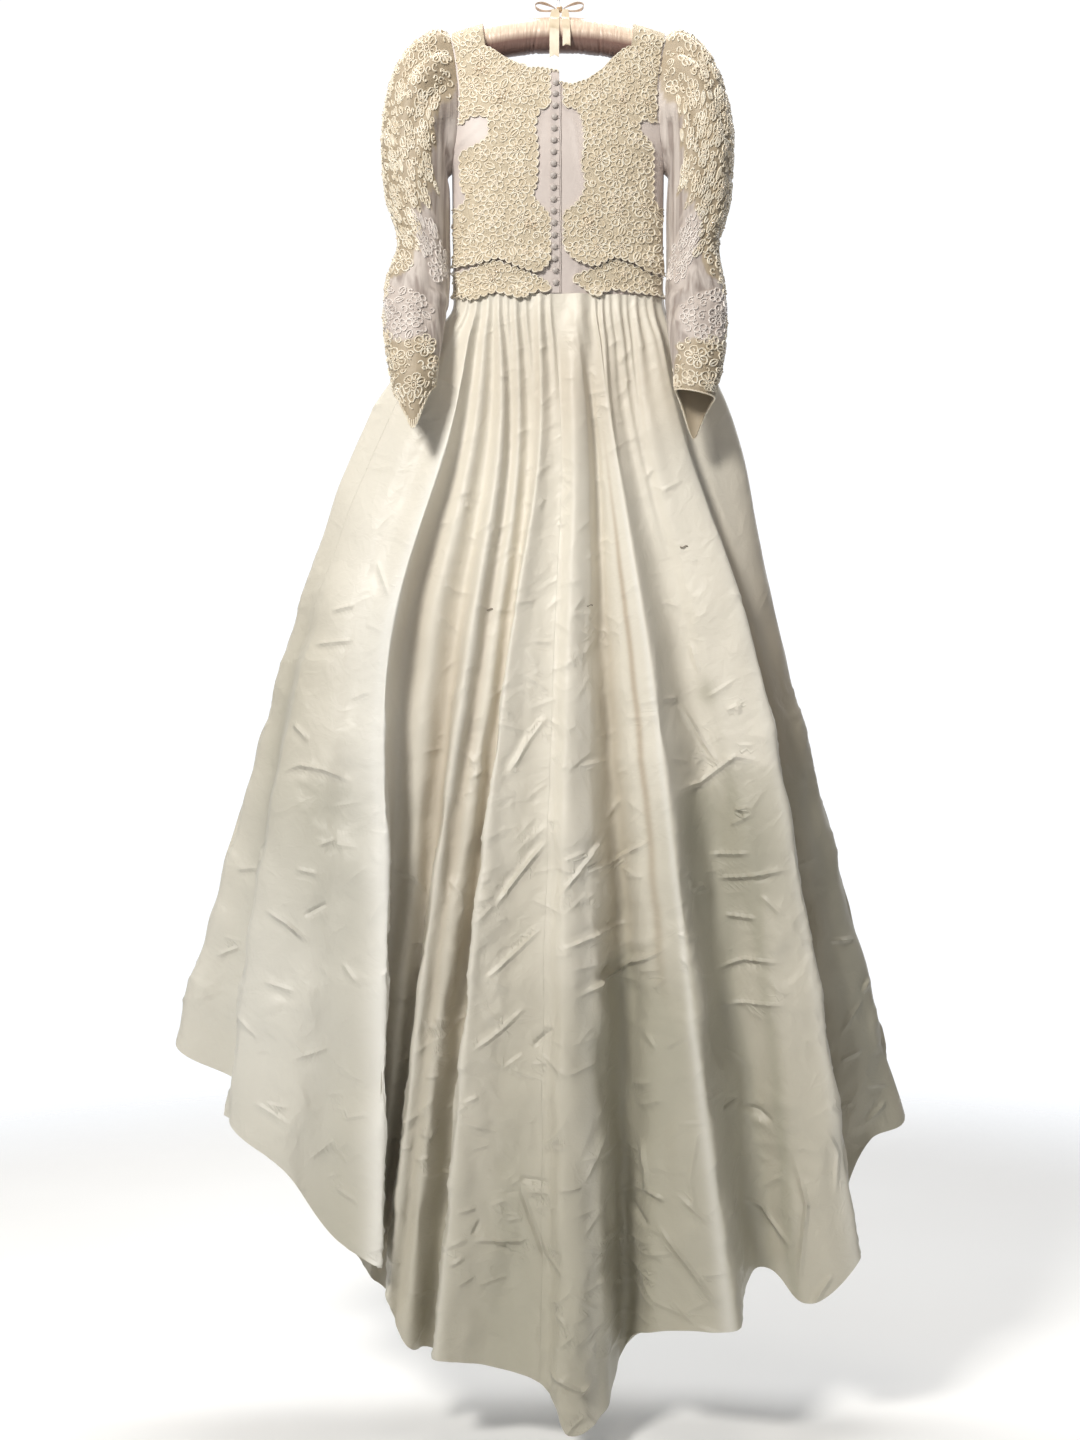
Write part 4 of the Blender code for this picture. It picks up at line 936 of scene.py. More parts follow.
def curl(radius, turn, sweep):
    """A worm of cord: an open loop that closes in towards its end."""
    t = np.linspace(0, 1, 8)
    angle = turn + sweep * t
    reach = radius * (0.92 - 0.42 * t)
    return [(np.stack([reach * np.cos(angle), reach * np.sin(angle)], axis=1), False)]


def inside(points, outline):
    """Which points lie inside a closed outline."""
    x, y = points[:, 0], points[:, 1]
    hit = np.zeros(len(points), dtype=bool)
    for (x1, y1), (x2, y2) in zip(outline, np.roll(outline, -1, axis=0)):
        if y1 != y2:
            hit ^= ((y1 > y) != (y2 > y)) & (x < (x2 - x1) * (y - y1) / (y2 - y1) + x1)
    return hit


def edge_distance(point, outline):
    """Distance from a point to the nearest side of a closed outline."""
    side = np.roll(outline, -1, axis=0) - outline
    t = np.clip(((point - outline) * side).sum(1) / np.maximum((side * side).sum(1), 1e-9), 0, 1)
    return np.linalg.norm(outline + side * t[:, None] - point, axis=1).min()


def unstretched(x, z):
    """A flat surface: a millimetre on the pattern is a millimetre on the cloth."""
    return np.ones(2)


def scatter(allowed, low, high, seed, stretch=unstretched, closeness=0.95):
    """Places for motifs, largest first, each where it fits: (x, z, radius)."""
    random = np.random.default_rng(seed)
    kept = np.empty((0, 3))
    area = (high[0] - low[0]) * (high[1] - low[1]) / 40000.0
    for radius, tries in MOTIF_SIZES:
        for spot in random.uniform(low, high, (int(tries * area) + 4, 2)):
            gap = np.linalg.norm((kept[:, :2] - spot) * stretch(*spot), axis=1)
            if (gap > (kept[:, 2] + radius) * closeness).all() and allowed(spot, radius):
                kept = np.vstack([kept, (*spot, radius)])
    return kept


def motif_cords(places, seed, stretch=unstretched):
    """The cords of every motif, and the places and sizes of their pearls."""
    random = np.random.default_rng(seed)
    cords, pearls = [], []
    for x, z, radius in places:
        turn = random.uniform(0, 2 * math.pi)
        beads = []
        if radius > 12.0:
            some = petals(radius, 6 if radius > 17.0 else 5, turn)
            beads = [(0.0, 0.0, 2.2)]
            for angle in turn + 2 * math.pi * np.arange(6) / 6:
                beads.append((0.34 * radius * math.cos(angle), 0.34 * radius * math.sin(angle), 1.5))
        elif radius > 9.0:
            if random.random() < 0.4:
                some = leaf(2.0 * radius, 1.1 * radius, turn)
            else:
                some = curl(radius, turn, 4.4) + curl(radius * 0.5, turn + 2.4, -4.0)
                beads = [(0.0, 0.0, 1.8)]
        else:
            some = curl(radius, turn, random.choice((-1, 1)) * random.uniform(3.8, 5.6))
            if random.random() < 0.14:
                beads = [(0.0, 0.0, 1.5)]
        here = 1.0 / stretch(x, z)
        cords.extend((line * here + (x, z), closed) for line, closed in some)
        pearls.extend((x + bx * here[0], z + bz * here[1], size) for bx, bz, size in beads)
    return cords, pearls


def pearl_tree():
    """Nodes that sew a pearl on every point of a mesh, of the size the point carries."""
    tree, given = start_tree("sew_pearls_on_points", (
        ("Places", "Geometry"), ("Facets", "Int"), ("Pearl", "Material")), "Pearls")
    ball = add_node(tree, "GeometryNodeMeshUVSphere", {"Segments": given["Facets"], "Rings": 4,
                                                       "Radius": 1.0})
    sewn = add_node(tree, "GeometryNodeInstanceOnPoints",
                    {"Points": given["Places"], "Instance": ball.outputs["Mesh"],
                     "Scale": carried(tree, "size", "FLOAT")})
    return end_tree(tree, sewn.outputs["Instances"], given["Pearl"])


PEARLING = pearl_tree()


def lay_cords(name, cords, surface, height, finish):
    """Cords along flat lines, laid on a surface(x, z, height)."""
    flat, edges, offset = [], [], 0
    for line, closed in cords:
        flat.append(line)
        edges.extend((offset + k, offset + k + 1) for k in range(len(line) - 1))
        if closed:
            edges.append((offset + len(line) - 1, offset))
        offset += len(line)
    flat = np.vstack(flat)
    low = surface(flat[:, 0], flat[:, 1], np.full(len(flat), height + CORD_HEIGHT / 2))
    high = surface(flat[:, 0], flat[:, 1], np.full(len(flat), height + CORD_HEIGHT / 2 + 1.0))
    grow(name, low, edges, "outward", "FLOAT_VECTOR", high - low, COUCHING,
         {"Width": CORD_WIDTH * MM, "Height": CORD_HEIGHT * MM, "Cord": finish}, "corded_lace")


def sew_pearls(name, pearls, surface, height):
    """Pearls at flat places, half sunk between the cords."""
    pearls = np.array(pearls)
    middles = surface(pearls[:, 0], pearls[:, 1], height + pearls[:, 2] * 0.75)
    grow(name, middles, [], "size", "FLOAT", pearls[:, 2] * MM, PEARLING,
         {"Facets": 6, "Pearl": PEARL}, "corded_lace")


def lace_ground(name, low, high):
    """Net closely filled with satin stitch: matt and mottled by the fill, with painted shade that makes it
    dark in its holes and between the cords.
    """
    finish, tree, shader = new_finish(name, Roughness=0.8, Sheen_Weight=0.2, Sheen_Roughness=0.5)
    place = object_place(tree)
    # the net's own mesh is 1 mm; drawn at 3 mm so that it shows
    holes = add_node(tree, "ShaderNodeTexVoronoi", {"Vector": place, "Scale": 330.0},
                     feature="DISTANCE_TO_EDGE")
    both = reckoned(tree, "MULTIPLY", ranged(holes.outputs["Distance"], 0.0, 0.3),
                    noise(place, 45.0, detail=3.0))
    # painted shade: the ground is drawn dark in its holes and darker overall, for the shadow between the
    # raised cords
    link(blended(both, high, low), shader)
    raised(shader, both, 0.7, 0.001, invert=True)
    return finish


def couched_cord(name, low, high):
    """Rayon cord, twisted: a light thread gleam that breaks up along its length."""
    finish, tree, shader = new_finish(name, Roughness=0.5, Sheen_Weight=0.3, Specular_IOR_Level=0.5)
    place = object_place(tree)
    link(blended(ranged(noise(place, 55.0, detail=3.0), 0.3, 0.7), low, high), shader)
    # the twist is 0.8 mm long; drawn at 3 mm so that it shows
    raised(shader, noise(place, 330.0), 0.5, 0.0008)
    return finish


def pearl_lustre():
    """Imitation seed pearls: glass dipped in nacre, warm white with a soft clear shine."""
    finish, tree, shader = new_finish("nacre_dipped_glass_pearl", Roughness=0.2, Coat_Weight=0.5,
                                      Coat_Roughness=0.1)
    link(blended(noise(object_place(tree), 60.0), "#D6BFA0", "#F6EDDE"), shader)
    return finish


# the net's own champagne, darkened with painted shade between the cords
CHAMPAGNE_NET_AND_SHADE = lace_ground("champagne_lace_net_and_painted_shade", "#A6987E", "#D0C3AC")
CHAMPAGNE_CORD = couched_cord("champagne_rayon_cord", "#DDD0B8", "#F5EFE0")
PEARL = pearl_lustre()


def scalloped(corners):
    """An outline whose sides are broken into small round scallops."""
    outline = []
    for one, other in zip(corners, corners[1:] + corners[:1]):
        one, other = np.array(one, dtype=float), np.array(other, dtype=float)
        length = np.linalg.norm(other - one)
        outward = np.array((-(other - one)[1], (other - one)[0])) / length
        count = max(int(round(length / SCALLOP_LENGTH)), 1)
        if abs(one[0]) > 200 and abs(other[0]) > 200 or one[1] > -70 and other[1] > -70:
            outline.append(one)
            continue
        for t in np.linspace(0, 1, count * 6, endpoint=False):
            bulge = SCALLOP_DEPTH * abs(math.sin(math.pi * t * count)) ** 0.8
            outline.append(one + (other - one) * t + outward * (bulge - 1.0))
    return np.array(outline)


def smooth_step(value):
    """0 below 0, 1 above 1, and smooth between."""
    held = np.clip(value, 0.0, 1.0)
    return held * held * (3.0 - 2.0 * held)


def edge_flare(z, at_waist):
    """How far a loose lower edge stands out: the band's over the gathers, the bodice's over the band."""
    if at_waist:
        return 6.0 * smooth_step((-543.0 - z) / 24.0)
    return 4.2 * smooth_step((-478.0 - z) / 28.0)


def lace_net(name, x, z, kept, height, outline, facing):
    """The net: the panel's surface moved out, kept only inside the scalloped outline."""
    outer = on_bodice(x, z, height + SEAM_GAP + LACE, facing)
    inner = on_bodice(x, z, height + SEAM_GAP, facing)
    if facing > 0:
        outer, inner, kept = outer[:, ::-1], inner[:, ::-1], kept[:, ::-1]
    points, faces = cloth_shell(outer, inner, kept=kept)
    net = add_piece(name + "_net", points, faces, CHAMPAGNE_NET_AND_SHADE, [name])
    prism = bmesh.new()
    near = [prism.verts.new((px * MM, facing * 4.0 * MM, pz * MM)) for px, pz in outline]
    pushed = bmesh.ops.extrude_face_region(prism, geom=[prism.faces.new(near)])
    moved = [item for item in pushed["geom"] if isinstance(item, bmesh.types.BMVert)]
    bmesh.ops.translate(prism, verts=moved, vec=(0.0, facing * 0.086, 0.0))
    bmesh.ops.recalc_face_normals(prism, faces=prism.faces)
    prism_mesh = bpy.data.meshes.new("lace_outline")
    prism.to_mesh(prism_mesh)
    prism.free()
    cutter = put_in_scene("lace_outline", prism_mesh)
    cut = net.modifiers.new("outline", "BOOLEAN")
    cut.operation, cut.solver, cut.object = "INTERSECT", "EXACT", cutter
    keep_result(net)
    bpy.data.objects.remove(cutter)
    return net


def waist_rows(first, last, columns):
    """x, z and kept cells of the band at the waist, which runs on below the seam."""
    z = np.linspace(-498.0, -572.0, 40)[:, None] + np.zeros((1, columns))
    x = np.linspace(first, last, columns)[None] * side_x(z)
    return x, z, np.ones((39, columns - 1), dtype=bool)


def lace_on_bodice(name, first, last, neck_z, facing, columns, seed, flat, area):
    """Net, cords and pearls of one lace piece."""
    at_waist = "waist" in name
    outline = scalloped(LACE_OUTLINES[name])
    if at_waist:
        x, z, kept = waist_rows(first, last, columns)
    else:
        x, z, kept = bodice_panel(first, last, neck_z, columns)
        trim = slice(1, -1) if facing > 0 else (slice(1, None) if first < -0.9 else slice(0, -1))
        x, z = x[:, trim], z[:, trim]
        kept = kept[:, trim.start:trim.start + x.shape[1] - 1]
    lift = edge_flare(z, at_waist)
    net = lace_net(name, x, z, kept, lift, outline, facing)
    limit_left, limit_right = first * SHOULDER_X, last * SHOULDER_X

    def allowed(spot, radius):
        if not limit_left + radius * 0.8 + 1 < spot[0] < limit_right - radius * 0.8 - 1:
            return False
        if abs(spot[0]) + radius * 0.8 > side_x(spot[1]) - 0.5:
            return False
        top = shoulder_z(spot[0]) - 10.0 if abs(spot[0]) > NECK_X + radius else float(neck_z(spot[0]))
        return (spot[1] + radius * 0.8 < top and inside(spot[None], outline)[0]
                and edge_distance(spot, outline) > radius * 0.7)

    low = np.maximum(outline.min(axis=0), (limit_left, -570.0))
    high = np.minimum(outline.max(axis=0), (limit_right, -92.0))
    places = scatter(allowed, low, high, seed, closeness=0.95 if facing > 0 else 0.86)
    cords, pearls = motif_cords(places, seed + 1)
    run = []
    for point in np.vstack([outline, outline[:1]]):
        top = shoulder_z(point[0]) - 4.0 if abs(point[0]) > NECK_X else float(neck_z(point[0]))
        on_cloth = abs(point[0]) < float(side_x(point[1])) - 1 and point[1] < top - 1
        if on_cloth:
            run.append(point)
            continue
        if len(run) > 3:
            cords.append((np.array(run), False))
        run = []
    if len(run) > 3:
        cords.append((np.array(run), False))
    if not at_waist:
        neck_x = np.arange(max(limit_left, -NECK_X) + 4, min(limit_right, NECK_X) - 3, 7.5)
        for at_x in neck_x:
            turn = 0.3 * math.sin(at_x)
            cords.extend((line + (at_x, float(neck_z(at_x)) - 2.0), closed)
                         for line, closed in curl(5.0, math.pi + turn, -math.pi * 1.15))
    base = SEAM_GAP + LACE - 0.2

    def surface(px, pz, height):
        return on_bodice(px, pz, height + edge_flare(pz, at_waist), facing)

    lay_cords(name + "_cords", cords, surface, base, CHAMPAGNE_CORD)
    for x, z, spread, count in PEARL_CLUSTERS.get(name, ()):
        random = np.random.default_rng(seed + 5)
        for spot in random.normal(0.0, spread, (count, 2)):
            pearls.append((x + spot[0], z + spot[1], random.uniform(1.3, 2.1)))
    sew_pearls(name + "_pearls", pearls, surface, base + 0.4)


PEARL_CLUSTERS = {          # x, z, spread and count of the heavier beading
    "lace_back_left": ((-47.0, -444.0, 7.0, 26), (-92.0, -230.0, 8.0, 18), (-130.0, -180.0, 8.0, 16)),
    "lace_back_right": ((48.0, -442.0, 7.0, 30), (104.0, -412.0, 7.0, 18), (110.0, -235.0, 9.0, 20)),
    "lace_waist_left": ((-108.0, -528.0, 6.0, 16),),
    "lace_front": ((-60.0, -330.0, 9.0, 24), (70.0, -420.0, 9.0, 24), (0.0, -300.0, 8.0, 18)),
}
back_parts = ((-1.0, closing_part - closing_gap), (closing_part + closing_gap, 1.0))
lace_on_bodice("lace_back_left", *back_parts[0], back_neck_z, -1, 54, 31, (0.19, 0.42), 0.054)
lace_on_bodice("lace_back_right", *back_parts[1], back_neck_z, -1, 54, 41, (0.19, 0.42), 0.053)
lace_on_bodice("lace_waist_left", *back_parts[0], back_neck_z, -1, 54, 51, (0.18, 0.06), 0.008)
lace_on_bodice("lace_waist_right", *back_parts[1], back_neck_z, -1, 54, 61, (0.17, 0.06), 0.0067)
lace_on_bodice("lace_front", -1.0, 1.0, front_neck_z, 1, 80, 71, (0.42, 0.4), 0.118)
lace_on_bodice("lace_waist_front", -1.0, 1.0, front_neck_z, 1, 80, 81, (0.4, 0.06), 0.0175)

# ------------------------------------------------------------------ sleeves
# Silk organza, a sheer crisp plain weave, cut full at the head and gathered into
# the armhole, caught in at the elbow and shaped to a point over the hand. Lace
# motifs are sewn down the outer side: champagne and beaded, with whiter plain ones.
LEFT_SECTIONS = (
    # body side x and z, outer side x and z, half depth, swing towards the back
    (187, -353, 200, -105, 46, 0),
    (185, -373, 238, -122, 58, 2),
    (184, -396, 270, -160, 64, 4),
    (184, -428, 289, -211, 66, 6),
    (184, -460, 297, -265, 64, 10),
    (183, -495, 298, -326, 58, 14),
    (183, -517, 291, -392, 51, 20),
    (183, -541, 269, -467, 42, 32),
    (184, -575, 288, -537, 42, 46),
    (189, -612, 291, -592, 39, 62),
    (193, -650, 287, -649, 36, 76),
    (198, -684, 280, -695, 33, 86),
    (202, -712, 273, -728, 30, 94),
)
RIGHT_SECTIONS = (
    (187, -353, 205, -105, 46, 0),
    (186, -372, 238, -124, 58, 2),
    (184, -396, 265, -163, 64, 4),
    (183, -428, 283, -213, 66, 6),
    (183, -460, 295, -274, 64, 10),
    (183, -495, 295, -334, 58, 14),
    (183, -520, 289, -400, 51, 20),
    (181, -543, 269, -477, 42, 32),
    (180, -576, 278, -544, 42, 46),
    (181, -613, 280, -600, 39, 62),
    (185, -654, 276, -659, 36, 76),
    (189, -689, 267, -706, 33, 88),
    (191, -722, 258, -736, 30, 100),
)
HEAD_PLEATS = 11
HEAD_PLEAT_DEPTHS = (5.0, 5.0, 3.5, 2.5, 1.5, 0.5)
CUFF_POINT = 68.0
CUFF_BAND = 8.0
ORGANZA_WALL = 1.5          # drawn thicker than the cloth, so that the inner skin stays inside
SLEEVE_RADIUS = 55.0        # turns millimetres round the sleeve into an angle


def smooth_through(values, keys, at):
    """A smooth curve through values at keys, along the first axis."""
    slopes = np.gradient(values, keys, axis=0)
    start = np.clip(np.searchsorted(keys, at, side="right") - 1, 0, len(keys) - 2)
    span = keys[start + 1] - keys[start]
    shape = (-1,) + (1,) * (values.ndim - 1)
    t = ((at - keys[start]) / span).reshape(shape)
    span = span.reshape(shape)
    return hermite(t, values[start], slopes[start], values[start + 1], slopes[start + 1], span)


def sleeve_surface(side, sections, point_at):
    """Rows of rings from the armhole to the cuff, the ring's angles, and row distances."""
    angle = np.linspace(-math.pi, math.pi, 112, endpoint=False)
    ring_z = (SHOULDER_Z + UNDERARM_Z) / 2 + (SHOULDER_Z - UNDERARM_Z) / 2 * np.cos(angle)
    ring_x = side_x(ring_z)
    first = np.stack([side * (ring_x + 0.4), -np.sign(np.sin(angle)) * bodice_depth(ring_x, ring_z),
                      ring_z], axis=1)
    rings = [first]
    pleat = np.cos(HEAD_PLEATS * angle + 0.6 * np.sin(2 * angle))
    pleat = np.sign(pleat) * np.abs(pleat) ** np.where(pleat > 0, 0.7, 1.2)
    pleat = pleat * smooth_step((np.cos(angle) + 0.75) / 0.5)
    for number, (body_x, body_z, outer_x, outer_z, half_depth, swing) in enumerate(sections):
        body = np.array((side * body_x, -swing, body_z), dtype=float)
        outer_side = np.array((side * outer_x, -swing, outer_z), dtype=float)
        middle, half = (body + outer_side) / 2, (outer_side - body) / 2
        ring = (middle + np.outer(np.cos(angle), half)
                + np.outer(np.sin(angle), np.array((0.0, -half_depth, 0.0))))
        if number < len(HEAD_PLEAT_DEPTHS):
            ring = ring + unit(ring - middle) * (pleat * HEAD_PLEAT_DEPTHS[number])[:, None]
        rings.append(ring)
    turn = np.angle(np.exp(1j * (angle - point_at)))
    reach = CUFF_BAND + CUFF_POINT * np.exp(-(turn / 0.85) ** 2)
    wrist = rings[-1]
    for part in (0.5, 1.0):
        cuff = wrist.copy()
        cuff[:, 2] -= reach * part
        cuff[:, 0] += (wrist[:, 0].mean() - cuff[:, 0]) * 0.42 * part * np.exp(-(turn / 1.2) ** 2)
        rings.append(cuff)
    rings = np.array(rings)
    keys = np.concatenate([[0.0], np.cumsum(np.linalg.norm(np.diff(rings, axis=0), axis=2).mean(axis=1))])
    along = np.linspace(0, keys[-1], 141)
    return smooth_through(rings, keys, along), angle, along


def sleeve_wrinkle(angle, along, side):
    """Creases of crisp organza: pulled in at the elbow, and soft runs up the arm."""
    a, t = np.meshgrid(angle, along)
    elbow = 395.0
    height = -2.2 * np.exp(-((t - elbow - 4 * np.sin(2 * a)) / 7.0) ** 2) * (0.7 + 0.3 * np.cos(3 * a + 1))
    for k, (where, lean, size) in enumerate(((360, 0.25, 1.5), (378, -0.18, 1.2), (415, 0.22, 1.6),
                                             (432, -0.3, 1.1), (455, 0.12, 0.9))):
        spread = np.exp(-((np.angle(np.exp(1j * (a - 2.4 + 0.5 * k)))) / 0.9) ** 2)
        height += size * spread * np.sin((t - where + lean * 80 * a) / 9.0) * np.exp(-((t - where) / 26) ** 2)
    runs = np.sin(7 * a + 0.008 * t * side) * 0.8 + np.sin(11 * a - 0.012 * t) * 0.5
    height += runs * smooth_step(t / 60) * smooth_step((620 - t) / 200)
    return height * smooth_step(t / 25)


def sheer_organza():
    """Silk organza: sheer, dry and crisp; painted lengthwise streaks draw it darker, for the shade in its
    folds and the doubled cloth where layers meet.
    """
    finish, tree, shader = new_finish("mauve_silk_organza", Roughness=0.55, Sheen_Weight=0.35,
                                      Sheen_Roughness=0.4)
    streak = noise(stretched(object_place(tree), 95.0, 95.0, 7.0), 1.0, distortion=0.4)
    lace = add_node(tree, "ShaderNodeAttribute", attribute_name="lace")
    grounds = add_node(tree, "ShaderNodeSeparateColor", {"Color": lace.outputs["Color"]}).outputs
    # painted shade: darker lengthwise streaks stand for the shade of the folds
    colour = blended(ranged(streak, 0.38, 0.62), "#A3968F", "#D3C9C2")
    solid = 0.86
    for channel, ground in (("Red", "#AC9D86"), ("Green", "#BFB4AD")):
        colour = blended(grounds[channel], colour, ground)
        solid = reckoned(tree, "MULTIPLY_ADD", grounds[channel], 0.12, solid)
    link(colour, shader)
    link(solid, shader, "Alpha")
    raised(shader, streak, 0.4, 0.003)
    return finish


SHEER = sheer_organza()
WHITE_CORD = couched_cord("white_rayon_cord", "#CFC6C0", "#EDE6E0")


def on_sleeve(grid, normals, angle, along):
    """A surface(u, v, height): u is millimetres round from the top, v is distance down."""
    def surface(u, v, height):
        column = (np.asarray(u) / SLEEVE_RADIUS + math.pi) / (angle[1] - angle[0])
        row = np.clip(np.asarray(v) / (along[1] - along[0]), 0, len(along) - 1.001)
        c0, r0 = np.floor(column).astype(int), np.floor(row).astype(int)
        fc, fr = (column - c0)[..., None], (row - r0)[..., None]
        c1 = (c0 + 1) % len(angle)
        c0 = c0 % len(angle)
        out = []
        for field in (grid, normals):
            out.append((field[r0, c0] * (1 - fc) + field[r0, c1] * fc) * (1 - fr)
                       + (field[r0 + 1, c0] * (1 - fc) + field[r0 + 1, c1] * fc) * fr)
        return out[0] + unit(out[1]) * np.asarray(height)[..., None]
    return surface


def lace_patch(u, v, length):
    """How far inside the champagne and the white motifs a place on the sleeve lies."""
    a = np.abs(u) / SLEEVE_RADIUS
    ragged = 0.12 * np.sin(v / 9.0) + 0.1 * np.sin(v / 23.0 + 2.0) + 0.06 * np.sin(v / 4.7)
    reach = np.interp(v, (0, 40, 120, 250, 300, 350, 385, 440, 462, 480, 560, length),
                      (1.2, 1.9, 2.1, 1.9, 1.55, 1.2, 0.55, 0.3, 1.5, 2.6, 3.0, 3.3))
    champagne = (reach + ragged - a) * SLEEVE_RADIUS
    upper = 1.0 - np.hypot((a - 2.15) / 0.62, (v - 275.0) / 82.0)
    lower = 1.0 - np.hypot((a - 1.15) / 1.1, (v - 424.0) / 46.0)
    white = np.maximum(upper, lower) * 42.0 + ragged * 30.0
    return np.where(white > 0, -1.0, champagne), white


def lean_shell(outer, inner, wrap=False, flat=None):
    """A thin wall whose hidden skin has only every second row and column of the outer one."""
    fine = np.arange(outer[..., 0].size).reshape(outer.shape[:2])
    coarse = outer[..., 0].size + np.arange(inner[..., 0].size).reshape(inner.shape[:2])
    if wrap:
        fine, coarse = np.hstack([fine, fine[:, :1]]), np.hstack([coarse, coarse[:, :1]])
    front = np.stack([fine[:-1, :-1], fine[1:, :-1], fine[1:, 1:], fine[:-1, 1:]], axis=-1).reshape(-1, 4)
    back = np.stack([coarse[:-1, :-1], coarse[:-1, 1:], coarse[1:, 1:], coarse[1:, :-1]],
                    axis=-1).reshape(-1, 4)
    rims = [(fine[0], coarse[0]), (fine[-1, ::-1], coarse[-1, ::-1])]
    if not wrap:
        rims += [(fine[::-1, 0], coarse[::-1, 0]), (fine[:, -1], coarse[:, -1])]
    rim = [(edge[2 * k], edge[2 * k + 1], edge[2 * k + 2], hidden[k + 1], hidden[k])
           for edge, hidden in rims for k in range(len(hidden) - 1)]
    uv = None
    if flat is not None:
        uv = np.vstack([flat.reshape(-1, 2), flat[::2, ::2].reshape(-1, 2)])
        uv = uv[np.concatenate([front.ravel(), back.ravel(), np.ravel(rim)])]
    points = np.vstack([outer.reshape(-1, 3), inner.reshape(-1, 3)])
    return points, front.tolist() + back.tolist() + rim, uv


def sleeve_piece(name, side, sections, point_at, seed):
    """One organza sleeve with its two kinds of lace motif."""
    grid, angle, along = sleeve_surface(side, sections, point_at)
    facing_grid = grid if side < 0 else grid[:, ::-1]
    normals = grid_normals(facing_grid, True)
    wrinkle = sleeve_wrinkle(angle, along, side)
    wrinkle = wrinkle if side < 0 else wrinkle[:, ::-1]
    outer = facing_grid + normals * wrinkle[:, :, None]
    normals = grid_normals(outer, True)
    inner = (outer - normals * ORGANZA_WALL)[::2, ::2]
    points, faces, _ = lean_shell(outer, inner, wrap=True)
    organza = add_piece(name + "_organza", points, faces, SHEER, [name])
    length = along[-1]
    at_u, at_v = np.meshgrid(angle * SLEEVE_RADIUS, along)
    if side > 0:
        at_u = at_u[:, ::-1]
    champagne, white = lace_patch(at_u, at_v, length)
    ground = np.stack([smooth_step((champagne + 4) / 5), smooth_step((white + 4) / 5),
                       np.zeros_like(white), np.ones_like(white)], axis=2)
    amounts = np.vstack([ground.reshape(-1, 4), ground[::2, ::2].reshape(-1, 4)])
    carry(organza.data, "lace", "FLOAT_COLOR", amounts)
    if side > 0:
        outer, normals = outer[:, ::-1], normals[:, ::-1]
    surface = on_sleeve(outer, normals, angle, along)
    round_step = np.linalg.norm(np.roll(outer, -1, axis=1) - outer, axis=2) / (
        (angle[1] - angle[0]) * SLEEVE_RADIUS)
    down_step = np.linalg.norm(np.gradient(outer, axis=0), axis=2) / (along[1] - along[0])

    def stretch(u, v):
        """Millimetres of cloth to a millimetre of u and of v at one place."""
        column = int(round((u / SLEEVE_RADIUS + math.pi) / (angle[1] - angle[0]))) % len(angle)
        row = min(int(v / (along[1] - along[0])), len(along) - 1)
        rows = slice(max(row - 4, 0), row + 5)
        columns = np.arange(column - 5, column + 6) % len(angle)
        return np.array((round_step[rows, columns].mean(), down_step[rows, columns].mean()))

    def on_patch(kind):
        def allowed(spot, radius):
            amount = lace_patch(spot[0], spot[1], length)[kind]
            return radius * 0.8 + 3 < spot[1] < length - radius * 0.8 - 6 and amount > radius * 0.6
        return allowed

    low, high = (-math.pi * SLEEVE_RADIUS, 0.0), (math.pi * SLEEVE_RADIUS, length)
    for kind, finish, label in ((0, CHAMPAGNE_CORD, "_cords"), (1, WHITE_CORD, "_white_cords")):
        places = scatter(on_patch(kind), low, high, seed + 2 * kind, stretch)
        cords, pearls = motif_cords(places, seed + 2 * kind + 1, stretch)
        if kind == 0:
            edge_u = np.arange(-math.pi, math.pi, 8.0 / SLEEVE_RADIUS) * SLEEVE_RADIUS
            cords.extend((line + (at, length - 3.5), closed)
                         for at in edge_u for line, closed in curl(5.4, 0.0, math.pi * 1.1))
            sew_pearls(name + "_pearls", pearls, surface, 0.6)
        lay_cords(name + label, cords, surface, 0.1, finish)


sleeve_piece("sleeve_left", -1, LEFT_SECTIONS, math.radians(90.0), 131)
sleeve_piece("sleeve_right", 1, RIGHT_SECTIONS, math.radians(-90.0), 141)

